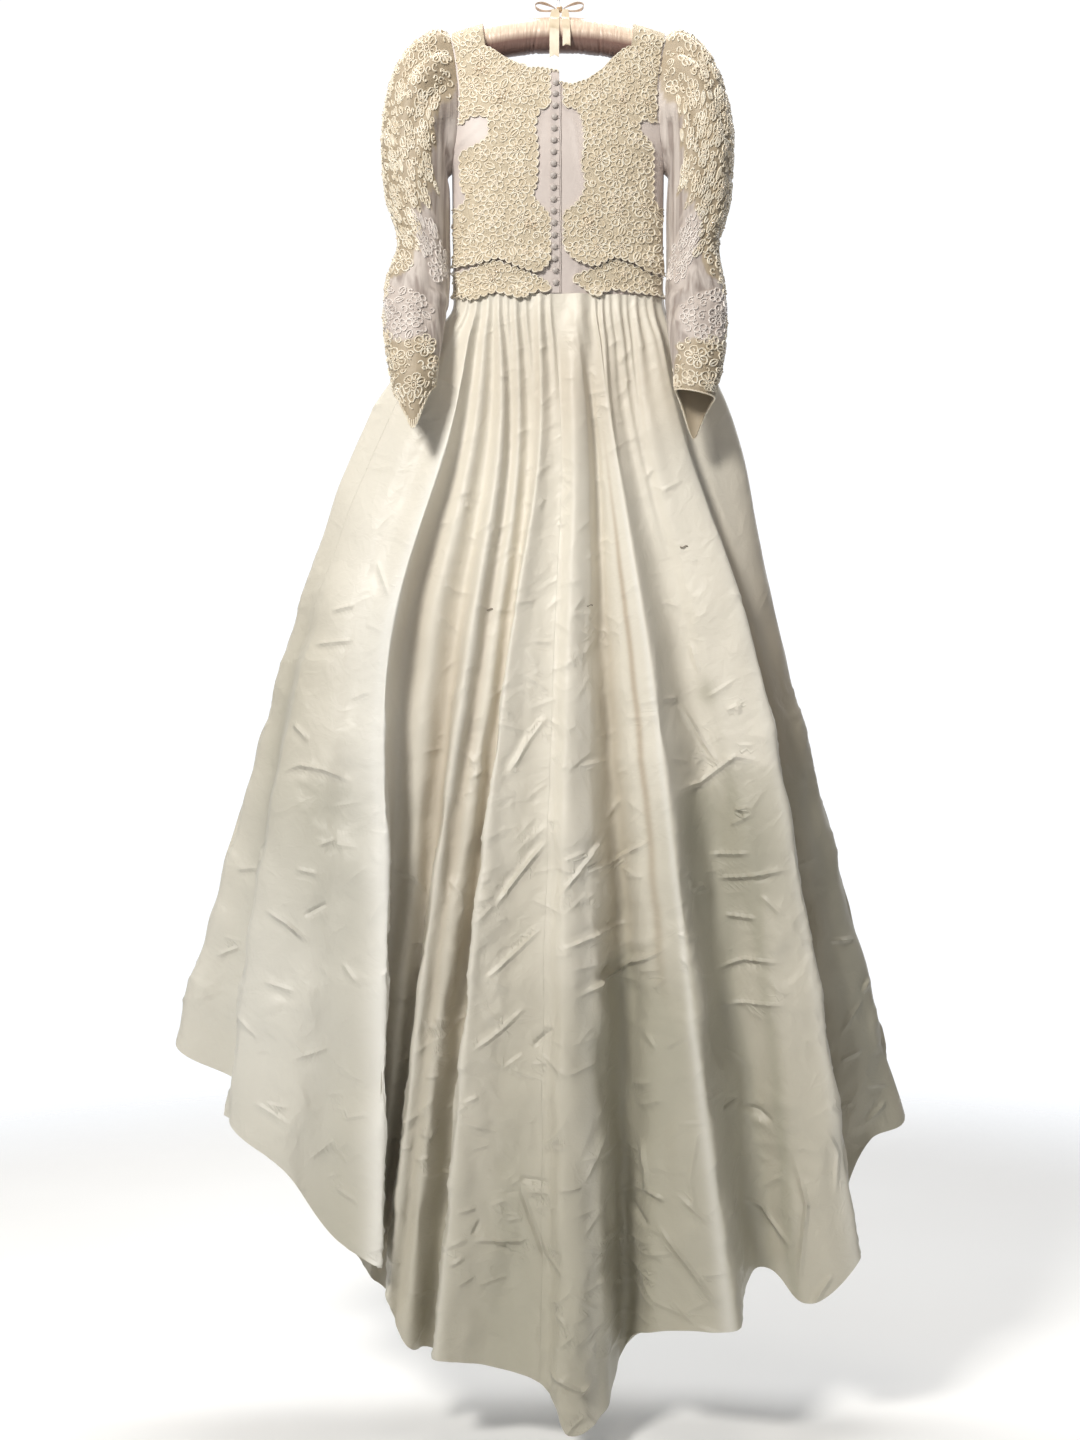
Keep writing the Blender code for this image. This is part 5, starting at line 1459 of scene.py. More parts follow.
# ------------------------------------------------------------------ skirt
# Ivory silk taffeta in five gathered panels: two back halves that run out into the
# train, two sides and a shorter front. The cloth is crisp, so its folds stand in
# sharp ridges and it keeps the creases of having been packed away.
FOLD_LINES = (
    # name, place in gathers, x at hip, thigh, knee, hem, y at the same, hem height, crispness
    ("left_side", 0.0, -293, -416, -528, -653, 5, 10, 15, 20, -1821, 0.0),
    ("left_far_valley", 1.0, -271, -399, -489, -532, -12, -20, -25, -25, -1897, 0.0),
    ("left_fold_edge", 1.5, -253, -383, -485, -548, -22, -42, -75, -100, -1932, 0.3),
    ("left_fold_face", 2.0, -224, -343, -405, -445, -38, -70, -112, -140, -2008, 0.0),
    ("left_fold_dip", 2.5, -202, -309, -349, -364, -42, -85, -125, -140, -2115, 0.0),
    ("left_ridge", 3.0, -168, -272, -278, -286, -56, -112, -155, -175, -2154, 0.7),
    ("left_deep_valley", 3.5, -152, -245, -275, -335, -34, -50, -50, -42, -2177, 0.0),
    ("soft_ridge", 4.0, -133, -207, -249, -314, -44, -70, -70, -56, -2203, 0.0),
    ("soft_valley", 4.5, -115, -176, -230, -296, -34, -50, -50, -40, -2222, 0.0),
    ("second_ridge", 5.0, -92, -141, -213, -279, -52, -98, -132, -148, -2213, 0.0),
    ("second_valley", 5.5, -78, -124, -198, -264, -40, -78, -122, -144, -2250, 0.0),
    ("third_ridge", 6.0, -66, -107, -183, -247, -48, -84, -130, -156, -2284, 0.0),
    ("third_valley", 7.0, -47, -89, -152, -212, -40, -68, -90, -98, -2306, 0.0),
    ("fourth_ridge", 8.0, -29, -82, -143, -195, -55, -108, -165, -195, -2295, 0.4),
    ("centre_left_face", 8.8, -12, -47, -87, -111, -50, -98, -150, -180, -2310, 0.0),
    ("centre_seam", 9.5, 5, -6, -21, -24, -50, -98, -158, -188, -2337, 0.0),
    ("centre_roll", 10.5, 26, 18, 13, 20, -62, -120, -190, -235, -2404, 0.0),
    ("centre_roll_edge", 11.2, 46, 48, 56, 70, -54, -100, -165, -200, -2376, 0.2),
    ("dark_valley", 11.7, 57, 79, 109, 112, -38, -60, -75, -75, -2311, 0.0),
    ("right_face", 12.3, 66, 105, 145, 154, -50, -92, -145, -172, -2258, 0.0),
    ("right_ridge", 13.0, 85, 146, 206, 282, -60, -125, -185, -212, -2242, 0.6),
    ("right_valley", 14.5, 110, 192, 274, 346, -42, -70, -88, -92, -2178, 0.0),
    ("right_panel", 16.5, 145, 244, 348, 400, -46, -86, -125, -142, -2222, 0.0),
    ("right_edge", 18.0, 196, 313, 403, 488, -38, -92, -132, -150, -2145, 0.5),
    ("right_far_valley", 18.6, 206, 308, 399, 474, -18, -42, -55, -52, -2113, 0.0),
    ("right_far_panel", 19.3, 231, 320, 420, 529, -8, -28, -32, -28, -1979, 0.0),
    ("right_side", 20.0, 280, 361, 467, 589, 10, 15, 20, 20, -1958, 0.0),
    ("front_valley_1", 21.2, 215, 290, 380, 470, 35, 45, 50, 55, -1850, 0.0),
    ("front_ridge_1", 22.4, 172, 240, 315, 385, 50, 85, 130, 165, -1770, 0.1),
    ("front_valley_2", 23.6, 128, 185, 235, 285, 44, 62, 85, 100, -1706, 0.0),
    ("front_ridge_2", 24.8, 88, 130, 170, 205, 58, 100, 155, 200, -1668, 0.1),
    ("front_valley_3", 26.0, 48, 72, 90, 105, 48, 75, 105, 128, -1648, 0.0),
    ("front_ridge_3", 27.2, 10, 22, 30, 35, 60, 110, 170, 222, -1640, 0.1),
    ("front_valley_4", 28.4, -30, -40, -48, -55, 50, 78, 112, 140, -1640, 0.0),
    ("front_ridge_4", 29.6, -70, -95, -125, -150, 60, 106, 165, 212, -1646, 0.1),
    ("front_valley_5", 30.8, -110, -155, -200, -240, 46, 66, 92, 112, -1662, 0.0),
    ("front_ridge_5", 32.0, -148, -215, -285, -345, 52, 90, 138, 178, -1690, 0.1),
    ("front_valley_6", 33.2, -185, -275, -365, -455, 38, 48, 58, 68, -1728, 0.0),
    ("front_ridge_6", 34.6, -235, -345, -455, -560, 28, 48, 78, 100, -1776, 0.0),
)
LEVELS = np.array((0.0, 0.12, 0.35, 0.65, 1.0))
BACK_GATHERS = 20
FRONT_GATHERS = 16
GATHERS = BACK_GATHERS + FRONT_GATHERS


def waist_ring(places):
    """Points and outward directions on the waist seam for places counted in gathers."""
    angle = np.linspace(0.0, math.pi, 721)
    power = 2.0 / OVAL_POWER
    x = -WAIST_HALF_WIDTH * np.sign(np.cos(angle)) * np.abs(np.cos(angle)) ** power
    y = WAIST_HALF_DEPTH * np.sin(angle) ** power
    length = np.concatenate([[0.0], np.cumsum(np.hypot(np.diff(x), np.diff(y)))])
    length /= length[-1]
    at_back = places <= BACK_GATHERS
    part = np.where(at_back, places / BACK_GATHERS, 1.0 - (places - BACK_GATHERS) / FRONT_GATHERS)
    at_x = np.interp(part, length, x)
    at_y = np.interp(part, length, y) * np.where(at_back, -1.0, 1.0)
    outward = unit(np.stack([at_x / WAIST_HALF_WIDTH ** 2, at_y / WAIST_HALF_DEPTH ** 2], axis=-1))
    return np.stack([at_x, at_y], axis=-1), outward


def fold_grid(parts, places):
    """The skirt's smooth surface: rows down, places round."""
    numbers = np.array([row[1:] for row in FOLD_LINES], dtype=float)
    starts = np.append(numbers[:, 0], float(GATHERS))
    waist, _ = waist_ring(numbers[:, 0])
    level_x = np.vstack([waist[:, 0], numbers[:, 1:5].T])
    level_y = np.vstack([waist[:, 1], numbers[:, 5:9].T])
    crisp = numbers[:, 10]
    top = WAIST_Z - SEAM_GAP / 2
    lines = np.stack([smooth_through(level_x, LEVELS, parts), smooth_through(level_y, LEVELS, parts),
                      top + parts[:, None] * (numbers[None, :, 9] - WAIST_Z)], axis=2)
    ahead = np.roll(lines, -1, axis=1) - lines
    reach = np.linalg.norm(ahead, axis=2, keepdims=True)
    behind, behind_reach = np.roll(ahead, 1, axis=1), np.roll(reach, 1, axis=1)
    direction = unit(unit(ahead) * behind_reach + unit(behind) * reach)
    start = np.searchsorted(starts, places % GATHERS, side="right") - 1
    after = (start + 1) % len(FOLD_LINES)
    t = ((places % GATHERS - starts[start]) / (starts[start + 1] - starts[start]))[None, :, None]
    leave = direction[:, start] * reach[:, start] * (1.0 - crisp[start])[None, :, None]
    arrive = direction[:, after] * reach[:, start] * (1.0 - crisp[after])[None, :, None]
    grid = hermite(t, lines[:, start], leave, lines[:, after], arrive)
    ring, outward = waist_ring(places % GATHERS)
    blend = smooth_step(parts / 0.05)[:, None, None]
    grid[:, :, :2] = ring[None] + (grid[:, :, :2] - ring[None]) * blend
    return grid, outward


WAIST_RIDGES = (
    # gathers along the back: place at the waist, place lower down, half width, height,
    # and the part of the way to the hem at which it has died out
    (1.10, 1.2, 0.32, 4.0, 0.25), (2.12, 2.2, 0.30, 4.5, 0.28), (3.03, 3.0, 0.34, 8.0, 0.48),
    (4.08, 4.0, 0.34, 6.5, 0.38), (4.95, 5.0, 0.28, 7.5, 0.42), (5.63, 5.6, 0.20, 4.0, 0.16),
    (6.40, 6.1, 0.30, 7.0, 0.36), (7.25, 7.1, 0.22, 4.5, 0.22), (8.45, 8.1, 0.38, 9.0, 0.52),
    (9.30, 9.1, 0.24, 5.0, 0.20), (11.80, 10.9, 0.78, 14.0, 0.38), (13.12, 12.7, 0.22, 5.5, 0.22),
    (13.72, 13.2, 0.20, 7.0, 0.32), (14.32, 14.0, 0.22, 4.5, 0.24), (15.09, 15.0, 0.34, 8.0, 0.42),
    (15.78, 15.8, 0.20, 4.0, 0.20), (16.60, 16.6, 0.26, 7.0, 0.36), (17.40, 17.3, 0.22, 4.5, 0.24),
    (18.11, 17.9, 0.36, 8.0, 0.32), (19.22, 19.2, 0.30, 5.0, 0.24),
)


def front_ridges():
    """The same along the front and sides, where nothing pulls on them: even chance."""
    random = np.random.default_rng(7)
    ridges = []
    place = 20.2
    while place < GATHERS - 0.3:
        ridges.append((place, place + random.uniform(-0.15, 0.15), random.uniform(0.2, 0.4),
                       random.uniform(4.0, 9.0), random.uniform(0.18, 0.48)))
        place += random.uniform(0.65, 1.15)
    return tuple(ridges)


def gather_height(parts, places):
    """Gathers: ridges of uneven width and height, steeper on their right, that die out."""
    height = np.zeros((len(parts), len(places)))
    settle = smooth_step(parts / 0.14)[:, None]
    for at_waist, lower, wide, tall, ends in WAIST_RIDGES + front_ridges():
        middle = at_waist + (lower - at_waist) * settle
        away = (places[None] - middle + GATHERS / 2) % GATHERS - GATHERS / 2
        spread = wide * (1.0 + 0.8 * settle) * np.where(away < 0, 1.2, 0.72)
        grow = 0.45 + 0.55 * smooth_step(parts / 0.03)
        fade = 1.0 - smooth_step((parts - 0.03) / (ends - 0.03))
        height += (tall * grow * fade)[:, None] * np.exp(-(away / spread) ** 2)
    return height


places = []
for one, other in zip(FOLD_LINES, FOLD_LINES[1:] + (("end", GATHERS) + FOLD_LINES[0][2:],)):
    hem_length = math.hypot(other[5] - one[5], other[9] - one[9])
    spacing = 6.0 if one[1] < BACK_GATHERS else 18.0
    steps = int(max(hem_length / spacing, (other[1] - one[1]) * 12, 6))
    places.extend(np.linspace(one[1], other[1], steps, endpoint=False))
if len(places) % 2:
    places.append((places[-1] + GATHERS) / 2)
places = np.array(places)
parts = np.concatenate([np.linspace(0, 0.06, 16, endpoint=False), np.linspace(0.06, 1.0, 231)])
skirt_points, skirt_outward = fold_grid(parts, places)
skirt_points[:, :, :2] += skirt_outward[None] * gather_height(parts, places)[:, :, None]
skirt_normals = grid_normals(skirt_points, True)

CREASES = (                 # how far each stands up (or sinks), half width, then x and height along it
    (3.4, 6.0, -14, -1465, -63, -1524, -110, -1584), (2.6, 6.0, -22, -1606, -76, -1656, -128, -1701),
    (2.8, 7.0, -50, -1735, -95, -1776, -145, -1810), (2.6, 5.0, 91, -1438, 31, -1524, -9, -1566),
    (2.6, 5.0, 160, -1460, 99, -1504, 31, -1527), (2.4, 6.0, 127, -1606, 60, -1623, -5, -1646),
    (3.4, 7.0, 181, -1637, 99, -1688, 18, -1724), (1.6, 6.0, -14, -1260, -50, -1309, -88, -1370),
    (1.2, 6.0, -60, -1195, -14, -1228), (1.2, 5.0, -42, -1144, -8, -1144),
    (1.4, 6.0, -42, -1286, -83, -1365), (1.4, 5.0, 51, -1485, 2, -1504),
    (1.2, 6.0, 87, -1339, 31, -1350), (-2.4, 6.0, -10, -1768, -45, -1803),
    (1.4, 5.0, -55, -1812, -95, -1840), (1.6, 5.0, -127, -1877, -158, -1892),
    (1.4, 5.0, -244, -1836, -272, -1845), (1.6, 5.0, -209, -1813, -176, -1832),
    (1.3, 5.0, -205, -1758, -174, -1768), (1.6, 4.0, -230, -1941, -209, -1954, -191, -1926),
    (-2.0, 7.0, -67, -2010, -10, -2017), (1.6, 5.0, -55, -2033, -10, -2033),
    (-2.2, 8.0, -68, -2011, -40, -2088, -13, -2169), (3.0, 5.0, -148, -2108, -63, -2113, -45, -2103),
    (2.0, 5.0, -180, -2149, -151, -2132), (1.8, 5.0, -167, -2064, -130, -2056),
    (-2.2, 6.0, -125, -2074, -140, -2104), (1.4, 5.0, -112, -2056, -80, -2043),
    (1.8, 5.0, -90, -2081, -55, -2074), (3.0, 6.0, -18, -2305, 31, -2334, 58, -2323),
    (1.8, 5.0, -10, -2214, 17, -2236), (1.8, 5.0, -5, -2023, 39, -2018),
    (1.8, 9.0, 89, -1915, 65, -1961, 40, -2017), (3.0, 5.0, 135, -1951, 143, -2004, 140, -2047),
    (2.4, 5.0, 140, -2035, 171, -2045), (2.4, 9.0, 152, -2074, 206, -2145, 261, -2218),
    (1.8, 7.0, 183, -2029, 246, -2081), (-2.0, 7.0, 117, -2061, 150, -2097),
    (1.2, 8.0, 225, -1913, 209, -2009, 225, -2105), (2.6, 5.0, 245, -1689, 308, -1667, 370, -1671),
    (2.0, 5.0, 255, -1745, 307, -1739, 377, -1739),
    (2.6, 5.0, 181, -1392, 237, -1376, 265, -1353, 291, -1333, 337, -1343),
    (1.8, 4.0, 167, -1240, 199, -1237), (1.8, 6.0, 194, -1240, 233, -1298, 268, -1353),
    (2.0, 4.0, 274, -1259, 295, -1250, 297, -1267), (2.4, 4.0, 287, -1422, 314, -1417),
    (1.8, 4.0, 281, -1448, 319, -1427), (2.2, 5.0, 244, -1496, 323, -1492),
    (3.0, 5.0, 254, -1536, 315, -1530, 379, -1517), (2.4, 5.0, 272, -1595, 327, -1600),
    (1.6, 7.0, 327, -1559, 369, -1595), (1.8, 5.0, 210, -1550, 238, -1543),
    (-2.4, 7.0, 300, -1908, 330, -1916, 355, -1936), (2.8, 6.0, 298, -2058, 336, -2076, 384, -2138),
    (-2.0, 6.0, 265, -1905, 294, -1894), (2.4, 6.0, 380, -1978, 404, -2060, 389, -2206),
    (2.4, 6.0, 446, -2166, 425, -2200, 408, -2233), (2.0, 6.0, 450, -1871, 467, -1917, 473, -1966),
    (1.8, 7.0, 428, -1928, 454, -1977, 447, -2042), (1.0, 5.0, 293, -1315, 320, -1315),
    (1.0, 6.0, 218, -1141, 235, -1200), (2.4, 5.0, 533, -1715, 518, -1739),
    (2.0, 6.0, 523, -1744, 496, -1773, 475, -1803), (1.8, 6.0, 518, -1889, 566, -1894),
    (2.0, 6.0, 562, -1917, 518, -1955), (1.8, 5.0, 453, -1646, 507, -1646),
    (1.6, 6.0, 469, -1847, 513, -1828), (2.0, 5.0, -443, -1278, -410, -1310),
    (1.8, 5.0, -379, -1093, -336, -1083), (2.0, 5.0, -411, -1147, -336, -1142),
    (-2.4, 6.0, -421, -1595, -375, -1571), (2.6, 6.0, -486, -1584, -446, -1607, -407, -1640),
    (1.8, 5.0, -549, -1528, -504, -1523),
    (2.4, 5.0, -464, -1361, -428, -1348, -385, -1356, -335, -1376),
    (1.8, 5.0, -249, -1646, -216, -1644), (1.6, 5.0, -397, -1480, -361, -1468),
    (1.4, 5.0, -433, -1518, -390, -1527), (1.6, 7.0, -488, -1702, -426, -1718),
    (1.6, 7.0, -536, -1756, -493, -1796), (1.6, 6.0, -585, -1676, -534, -1656),
    (1.6, 7.0, -438, -1828, -373, -1808), (1.4, 6.0, -357, -1665, -321, -1706),
    (1.6, 8.0, -505, -1895, -440, -1928), (1.4, 6.0, -355, -1922, -303, -1909),
    (1.6, 6.0, -370, -2032, -321, -2057), (1.2, 7.0, -304, -1006, -277, -1073),
    (1.2, 6.0, -346, -1240, -309, -1224),
)


def crease_height(x, z, line, lift, wide):
    """One crease: its height, the distance to its line with a sign for the side, its strength."""
    line = np.array(line, dtype=float)
    lengths = np.linalg.norm(np.diff(line, axis=0), axis=1)
    total = lengths.sum()
    nearest = np.full_like(x, 1e9)
    sideways = np.zeros_like(x)
    along = np.zeros_like(x)
    for k, length in enumerate(lengths):
        step = (line[k + 1] - line[k]) / length
        run = np.clip((x - line[k, 0]) * step[0] + (z - line[k, 1]) * step[1], 0.0, length)
        away_x, away_z = x - line[k, 0] - run * step[0], z - line[k, 1] - run * step[1]
        distance = np.hypot(away_x, away_z)
        nearer = distance < nearest
        nearest = np.where(nearer, distance, nearest)
        sideways = np.where(nearer, np.sign(away_x * step[1] - away_z * step[0]) * distance, sideways)
        along = np.where(nearer, lengths[:k].sum() + run, along)
    taper = smooth_step(along / (0.3 * total)) * smooth_step((total - along) / (0.3 * total))
    height = lift * taper * (np.exp(-(nearest / wide) ** 1.3)
                             - 0.7 * np.exp(-((sideways - 1.9 * wide) / (1.1 * wide)) ** 2))
    return height, sideways, lift * taper * np.exp(-(nearest / 9.0) ** 2)


def add_creases(x, z, at_back):
    """The placed creases of the back, and a seeded scatter of small ones all round."""
    random = np.random.default_rng(11)
    low, high = z.min(), -640.0
    scattered = []
    for number in range(620):
        on_back = number < 400
        at_z = low + (high - low) * random.uniform(0, 1) ** 1.35
        reach = (at_z - high) / (low - high)
        at_x = random.normal(0.0, 0.5) * (200 + 420 * reach)
        lean = random.choice((-1, 1), p=(0.35, 0.65)) * random.uniform(0.05, 1.0)
        half = random.uniform(12, 46) * (0.5 + 0.6 * reach)
        end = (half * math.cos(lean), half * math.sin(lean))
        scattered.append((((at_x - end[0], at_z - end[1]), (at_x + end[0], at_z + end[1])),
                          random.uniform(0.8, 2.2) * (0.5 + 0.8 * reach), random.uniform(4.0, 6.0), on_back))
    height, side, strength = np.zeros_like(x), np.zeros_like(x), np.zeros_like(x)
    placed = [(np.reshape(line, (-1, 2)), 1.7 * lift, 0.85 * wide, True)
              for lift, wide, *line in CREASES]
    for line, lift, wide, on_back in placed + scattered:
        ends = np.array(line)
        edge = 4 * wide
        near = ((x > ends[:, 0].min() - edge) & (x < ends[:, 0].max() + edge)
                & (z > ends[:, 1].min() - edge) & (z < ends[:, 1].max() + edge) & (at_back == on_back))
        added, away, amount = crease_height(x[near], z[near], line, lift, wide)
        height[near] += added
        stronger = np.abs(amount) > np.abs(strength[near])
        side[near] = np.where(stronger, away, side[near])
        strength[near] = np.where(stronger, amount, strength[near])
    return height, side, strength


def waves(x, z, longest, seed):
    """A soft random surface: a few crossed waves, about one high."""
    random = np.random.default_rng(seed)
    total = np.zeros_like(x)
    for _ in range(18):
        turn = random.uniform(0, 2 * math.pi)
        length = longest * random.uniform(0.45, 1.0)
        total += np.cos(2 * math.pi * (x * math.cos(turn) + z * math.sin(turn)) / length
                        + random.uniform(0, 2 * math.pi))
    return total / 3.0


def crumple_height(x, z, part):
    """How crisp cloth crumples: broad dents, and a net of sharp little ridges in places."""
    lower = smooth_step((part - 0.18) / 0.5)
    dents = waves(x, z, 230.0, 3) * 2.2 + waves(x * 1.6, z * 0.8, 120.0, 4) * 1.0
    ridges = 1.0 - np.minimum(np.abs(waves(x, z, 110.0, 5)) * 1.6, 1.0)
    fine = 1.0 - np.minimum(np.abs(waves(x, z, 62.0, 6)) * 1.5, 1.0)
    patchy = smooth_step(waves(x, z, 300.0, 8) * 0.6 + 0.45)
    sharp = lower * patchy * (2.4 * ridges + 1.2 * fine)
    return (0.25 + 0.75 * lower) * dents * smooth_step(part / 0.12) + sharp


at_back = skirt_normals[:, :, 1] < 0
crease_lift, crease_side, crease_strength = add_creases(skirt_points[:, :, 0], skirt_points[:, :, 2],
                                                        at_back)
crumple = (crease_lift
           + crumple_height(skirt_points[:, :, 0] + 0.6 * skirt_points[:, :, 1] * np.where(at_back, 1, -1),
                            skirt_points[:, :, 2], parts[:, None]))


def lowest_near(height, reach=2):
    """The lowest value within a few rows and columns."""
    low = np.min([np.roll(height, step, axis=1) for step in range(-reach, reach + 1)], axis=0)
    padded = np.pad(low, ((reach, reach), (0, 0)), mode="edge")
    return np.min([padded[k:k + len(height)] for k in range(2 * reach + 1)], axis=0)


skirt_inner = skirt_points + skirt_normals * (lowest_near(crumple) - CLOTH - 0.4)[:, :, None]
skirt_points += skirt_normals * crumple[:, :, None]

CREASE_HALF_WIDTH = 6.0     # how far a crease's sharp break reaches to each side
HEM_PAINTED_SHADE = 0.38             # painted shade: how much greyer the cloth is drawn towards the floor, where less light reaches
PAINTED_LIGHT_AND_SHADE_PATCHES = (
    # painted light and shade, with a little yellowing of the silk: patches drawn darker (beige,
    #     # grey) where less light falls, or paler (cool white) where more falls: middle x, y, z,
    #     # reach x, y, z, then how much beige, grey and cool white it takes, and a line that cuts
    #     # the patch off above
    (560, 10, -1500, 150, 60, 620, 0.85, 0.30, 0.0, None),
    (430, 0, -1000, 110, 45, 420, 0.75, 0.20, 0.0, None),
    (-480, -60, -1750, 220, 160, 330, 0.0, 0.25, 0.60, None),
    (-300, -90, -1250, 60, 120, 320, 0.0, 0.0, 0.65, None),
    (-430, -20, -1250, 130, 110, 420, 0.12, 0.42, 0.0, None),
    (60, -160, -2250, 420, 260, 300, 0.30, 0.55, 0.0, None),
    (200, -110, -1900, 220, 140, 260, 0.25, 0.45, 0.0, None),
    (-200, -90, -1750, 70, 60, 420, 0.55, 0.20, 0.0, None),
    (-370, -90, -1480, 80, 120, 150, 0.0, 0.60, 0.0,
     ((-520, -1372), (-450, -1368), (-408, -1360), (-372, -1366), (-330, -1384), (-200, -1384))),
    (285, -150, -1480, 100, 200, 160, 0.0, 0.95, 0.0,
     ((100, -1392), (182, -1392), (237, -1378), (264, -1352), (290, -1334), (334, -1342), (420, -1342))),
    (120, -170, -1780, 100, 160, 120, 0.15, 0.55, 0.0,
     ((-40, -1690), (25, -1690), (100, -1652), (190, -1600))),
    (60, -80, -700, 240, 90, 130, 0.35, 0.0, 0.0, None),
    (245, -80, -1228, 16, 60, 22, 0.0, 0.6, 0.0, None),
    (0, 120, -1300, 500, 90, 420, 0.25, 0.20, 0.0, None),
)


PAINTED_FOLD_SHADE_AND_HIGHLIGHT = (
    # painted shade in the hollows of the folds and painted highlights along their ridges:
    # place in gathers, half width, where it starts and is full on the way down,
    # then beige, grey and cool white
    (1.1, 0.6, 0.30, 0.60, 0.10, 0.30, 0.0), (2.5, 0.35, 0.35, 0.60, 0.05, 0.35, 0.0),
    (2.93, 0.16, 0.05, 0.20, 0.0, 0.0, 0.75), (3.45, 0.35, 0.10, 0.40, 0.55, 0.10, 0.0),
    (4.5, 0.28, 0.15, 0.45, 0.45, 0.05, 0.0), (5.0, 0.10, 0.10, 0.40, 0.0, 0.0, 0.20),
    (5.5, 0.25, 0.10, 0.40, 0.40, 0.05, 0.0), (6.9, 0.40, 0.10, 0.50, 0.45, 0.10, 0.0),
    (7.95, 0.14, 0.15, 0.45, 0.0, 0.0, 0.25), (9.0, 0.30, 0.30, 0.60, 0.10, 0.20, 0.0),
    (11.0, 0.22, 0.10, 0.40, 0.0, 0.0, 0.20), (11.72, 0.22, 0.12, 0.40, 0.60, 0.35, 0.0),
    (12.50, 0.07, 0.10, 0.30, 0.75, 0.0, 0.0), (12.90, 0.09, 0.05, 0.25, 0.0, 0.0, 0.50),
    (14.3, 0.60, 0.20, 0.50, 0.20, 0.35, 0.0), (16.0, 0.35, 0.30, 0.60, 0.05, 0.30, 0.0),
    (17.75, 0.26, 0.10, 0.40, 0.0, 0.0, 0.30), (18.7, 0.55, 0.15, 0.50, 0.75, 0.20, 0.0),
    (19.6, 0.60, 0.30, 0.60, 0.55, 0.35, 0.0),
)


def silk_shade(points, fold_places, fold_parts):
    """Beige, grey and cool amounts of a panel's points, from the patches and folds: mostly painted shade and
    painted highlights.
    """
    shade = np.zeros(points.shape[:2] + (4,))
    shade[:, :, 3] = 1.0
    # painted shade: greyer towards the floor
    shade[:, :, 1] = HEM_PAINTED_SHADE * smooth_step((fold_parts - 0.25) / 0.65)[:, None]
    for place, wide, start, full, beige, grey, cool in PAINTED_FOLD_SHADE_AND_HIGHLIGHT:
        away = (fold_places - place + GATHERS / 2) % GATHERS - GATHERS / 2
        amount = (smooth_step((fold_parts - start) / (full - start))[:, None]
                  * np.exp(-(away[None] / wide) ** 2))
        shade[:, :, :3] += amount[:, :, None] * (beige, grey, cool)
    for x, y, z, reach_x, reach_y, reach_z, beige, grey, cool, cut in PAINTED_LIGHT_AND_SHADE_PATCHES:
        away = (((points[:, :, 0] - x) / reach_x) ** 2 + ((points[:, :, 1] - y) / reach_y) ** 2
                + ((points[:, :, 2] - z) / reach_z) ** 2)
        amount = np.exp(-away)
        if cut is not None:
            edge = np.interp(points[:, :, 0], [p[0] for p in cut], [p[1] for p in cut])
            amount = amount * smooth_step((edge - points[:, :, 2]) / 14.0)
        shade[:, :, :3] += amount[:, :, None] * (beige, grey, cool)
    return np.clip(shade, 0.0, 1.0)


def silk_taffeta():
    """Silk taffeta: plain weave with slubs in the weft, a crisp dry gleam on its ridges."""
    finish, tree, shader = new_finish("ivory_silk_taffeta", Roughness=0.46, Sheen_Weight=0.12,
                                      Sheen_Roughness=0.35, Specular_IOR_Level=0.45)
    cloth = add_node(tree, "ShaderNodeUVMap", uv_map="cloth").outputs["UV"]
    shade = add_node(tree, "ShaderNodeAttribute", attribute_name="shade")
    amounts = add_node(tree, "ShaderNodeSeparateColor", {"Color": shade.outputs["Color"]}).outputs
    colour = blended(noise(cloth, 3.0, detail=4.0), "#DDD7C9", "#E9E4D8")
    # painted light and shade: beige and grey darken the cloth where less light falls, cool white paints
    # highlights
    for channel, mixed_in in (("Red", "#B5A48E"), ("Green", "#AFAB9B"), ("Blue", "#E9E7E0")):
        colour = blended(amounts[channel], colour, mixed_in)
    link(colour, shader)
    # slubs are 0.3 mm thick threads that run across; drawn 2.4 mm apart so that they show
    raised(shader, noise(stretched(cloth, 14.0, 420.0, 1.0), 1.0), 0.2, 0.0006)
    # handling wrinkles, 10 to 40 mm apart: noise folded at its middle gives sharp ridges
    for scale, deep in ((13.0, 0.0080), (38.0, 0.0024)):
        middle = reckoned(tree, "SUBTRACT", noise(cloth, scale, distortion=0.7), 0.5)
        raised(shader, reckoned(tree, "ABSOLUTE", middle), 0.5, deep, invert=True)
    # each crease breaks sharply at its line: strength times (1 - distance / half width)
    crease = add_node(tree, "ShaderNodeAttribute", attribute_name="crease")
    carries = add_node(tree, "ShaderNodeSeparateXYZ", {"Vector": crease.outputs["Vector"]}).outputs
    peak = ranged(reckoned(tree, "ABSOLUTE", carries["X"]), 0.0, CREASE_HALF_WIDTH, 1.0, 0.0)
    raised(shader, reckoned(tree, "MULTIPLY", peak, carries["Y"]), 1.0, 0.00075)
    return finish


TAFFETA = silk_taffeta()
SKIRT_SEAMS = (
    # panel, first and last place, its cut's hem width and length in metres, cut area
    ("skirt_back_left", 1.25, 9.5, (1.30, 1.86), 1.2),
    ("skirt_back_right", 9.5, 18.5, (1.15, 1.92), 1.07),
    ("skirt_side_right", 18.5, 22.5, (0.65, 1.65), 0.52),
    ("skirt_front", 22.5, 34.5, (1.40, 1.33), 0.95),
    ("skirt_side_left", 34.5, 1.25 + GATHERS, (0.40, 1.47), 0.26),
)


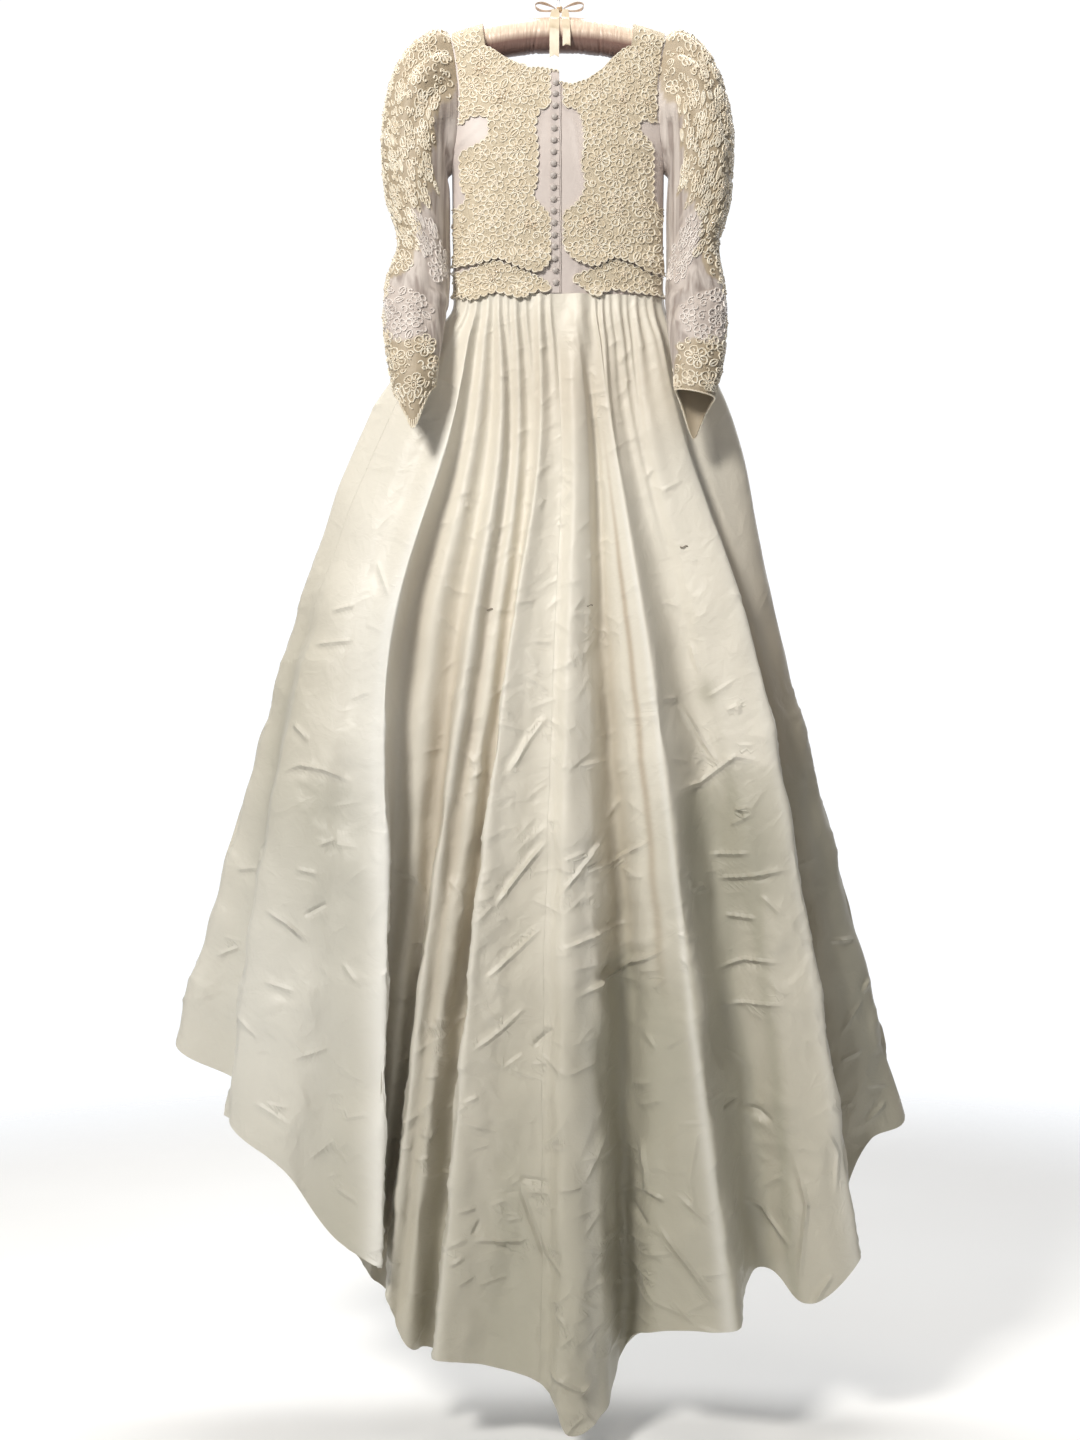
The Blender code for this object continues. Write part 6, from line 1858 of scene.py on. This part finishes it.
def skirt_panel(name, first_place, last_place, flat, area):
    """One panel, drawn in a little at its seams."""
    around = np.concatenate([places, places + GATHERS])
    first = int(np.argmin(np.abs(around - first_place))) // 2 * 2
    last = int(np.argmin(np.abs(around - last_place))) // 2 * 2
    columns = np.arange(first, last + 1) % len(places)
    outer = skirt_points[:, columns].copy()
    inner = skirt_inner[:, columns].copy()
    for skin in (outer, inner):
        skin[:, 0] += unit(skin[:, 1] - skin[:, 0]) * SEAM_GAP / 2
        skin[:, -1] += unit(skin[:, -2] - skin[:, -1]) * SEAM_GAP / 2
    across = np.linalg.norm(np.diff(outer, axis=1), axis=2)
    down = np.linalg.norm(np.diff(outer, axis=0), axis=2)
    u = np.concatenate([np.zeros((len(parts), 1)), np.cumsum(across, axis=1)], axis=1)
    v = np.concatenate([np.zeros((1, len(columns))), np.cumsum(down, axis=0)], axis=0)
    points, faces, uv = lean_shell(outer, inner[::2, ::2], flat=np.stack([u, v], axis=2) * MM)
    panel = add_piece(name + "_taffeta", points, faces, TAFFETA, [name], uv=uv)
    creases = np.stack([crease_side[:, columns], crease_strength[:, columns],
                        np.zeros_like(crease_side[:, columns])], axis=2)
    creases = np.vstack([creases.reshape(-1, 3), creases[::2, ::2].reshape(-1, 3)])
    carry(panel.data, "crease", "FLOAT_VECTOR", creases)
    # painted light and shade, carried on the panel's points
    shade = silk_shade(outer, places[columns], parts)
    shade = np.vstack([shade.reshape(-1, 4), shade[::2, ::2].reshape(-1, 4)])
    carry(panel.data, "shade", "FLOAT_COLOR", shade)


for skirt_seam in SKIRT_SEAMS:
    skirt_panel(*skirt_seam)

LOOP_PLACES = ((-115.0, -1092.0), (50.0, -1085.0), (209.0, -983.0))
LOOP_WIDTH = 13.0


def bustle_loop(x, z):
    """A worked thread loop: the skirt is lifted by hooking these up to the waist."""
    away = (skirt_points[:, :, 0] - x) ** 2 + (skirt_points[:, :, 2] - z) ** 2
    away[skirt_normals[:, :, 1] > 0] = 1e9
    row, column = np.unravel_index(np.argmin(away), away.shape)
    middle, outward = skirt_points[row, column], skirt_normals[row, column]
    along = np.linspace(-1.0, 1.0, 9)
    path = (middle + along[:, None] * (LOOP_WIDTH / 2, 0.0, 0.0)
            + (2.2 - 2.6 * along ** 4)[:, None] * outward)
    path[:, 2] += 1.4 * np.sin(3.0 * along)
    return tube(path, 0.8 + 0.5 * np.abs(along), sides=6)


def waxed_thread():
    """Buttonhole thread, waxed and darkened by handling."""
    finish, tree, shader = new_finish("waxed_buttonhole_thread", Roughness=0.6)
    link(blended(noise(object_place(tree), 500.0), "#5F564C", "#A89E8F"), shader)
    return finish


points, faces = join_all([bustle_loop(x, z) for x, z in LOOP_PLACES])
add_piece("bustle_loops", points, faces, waxed_thread(), [])
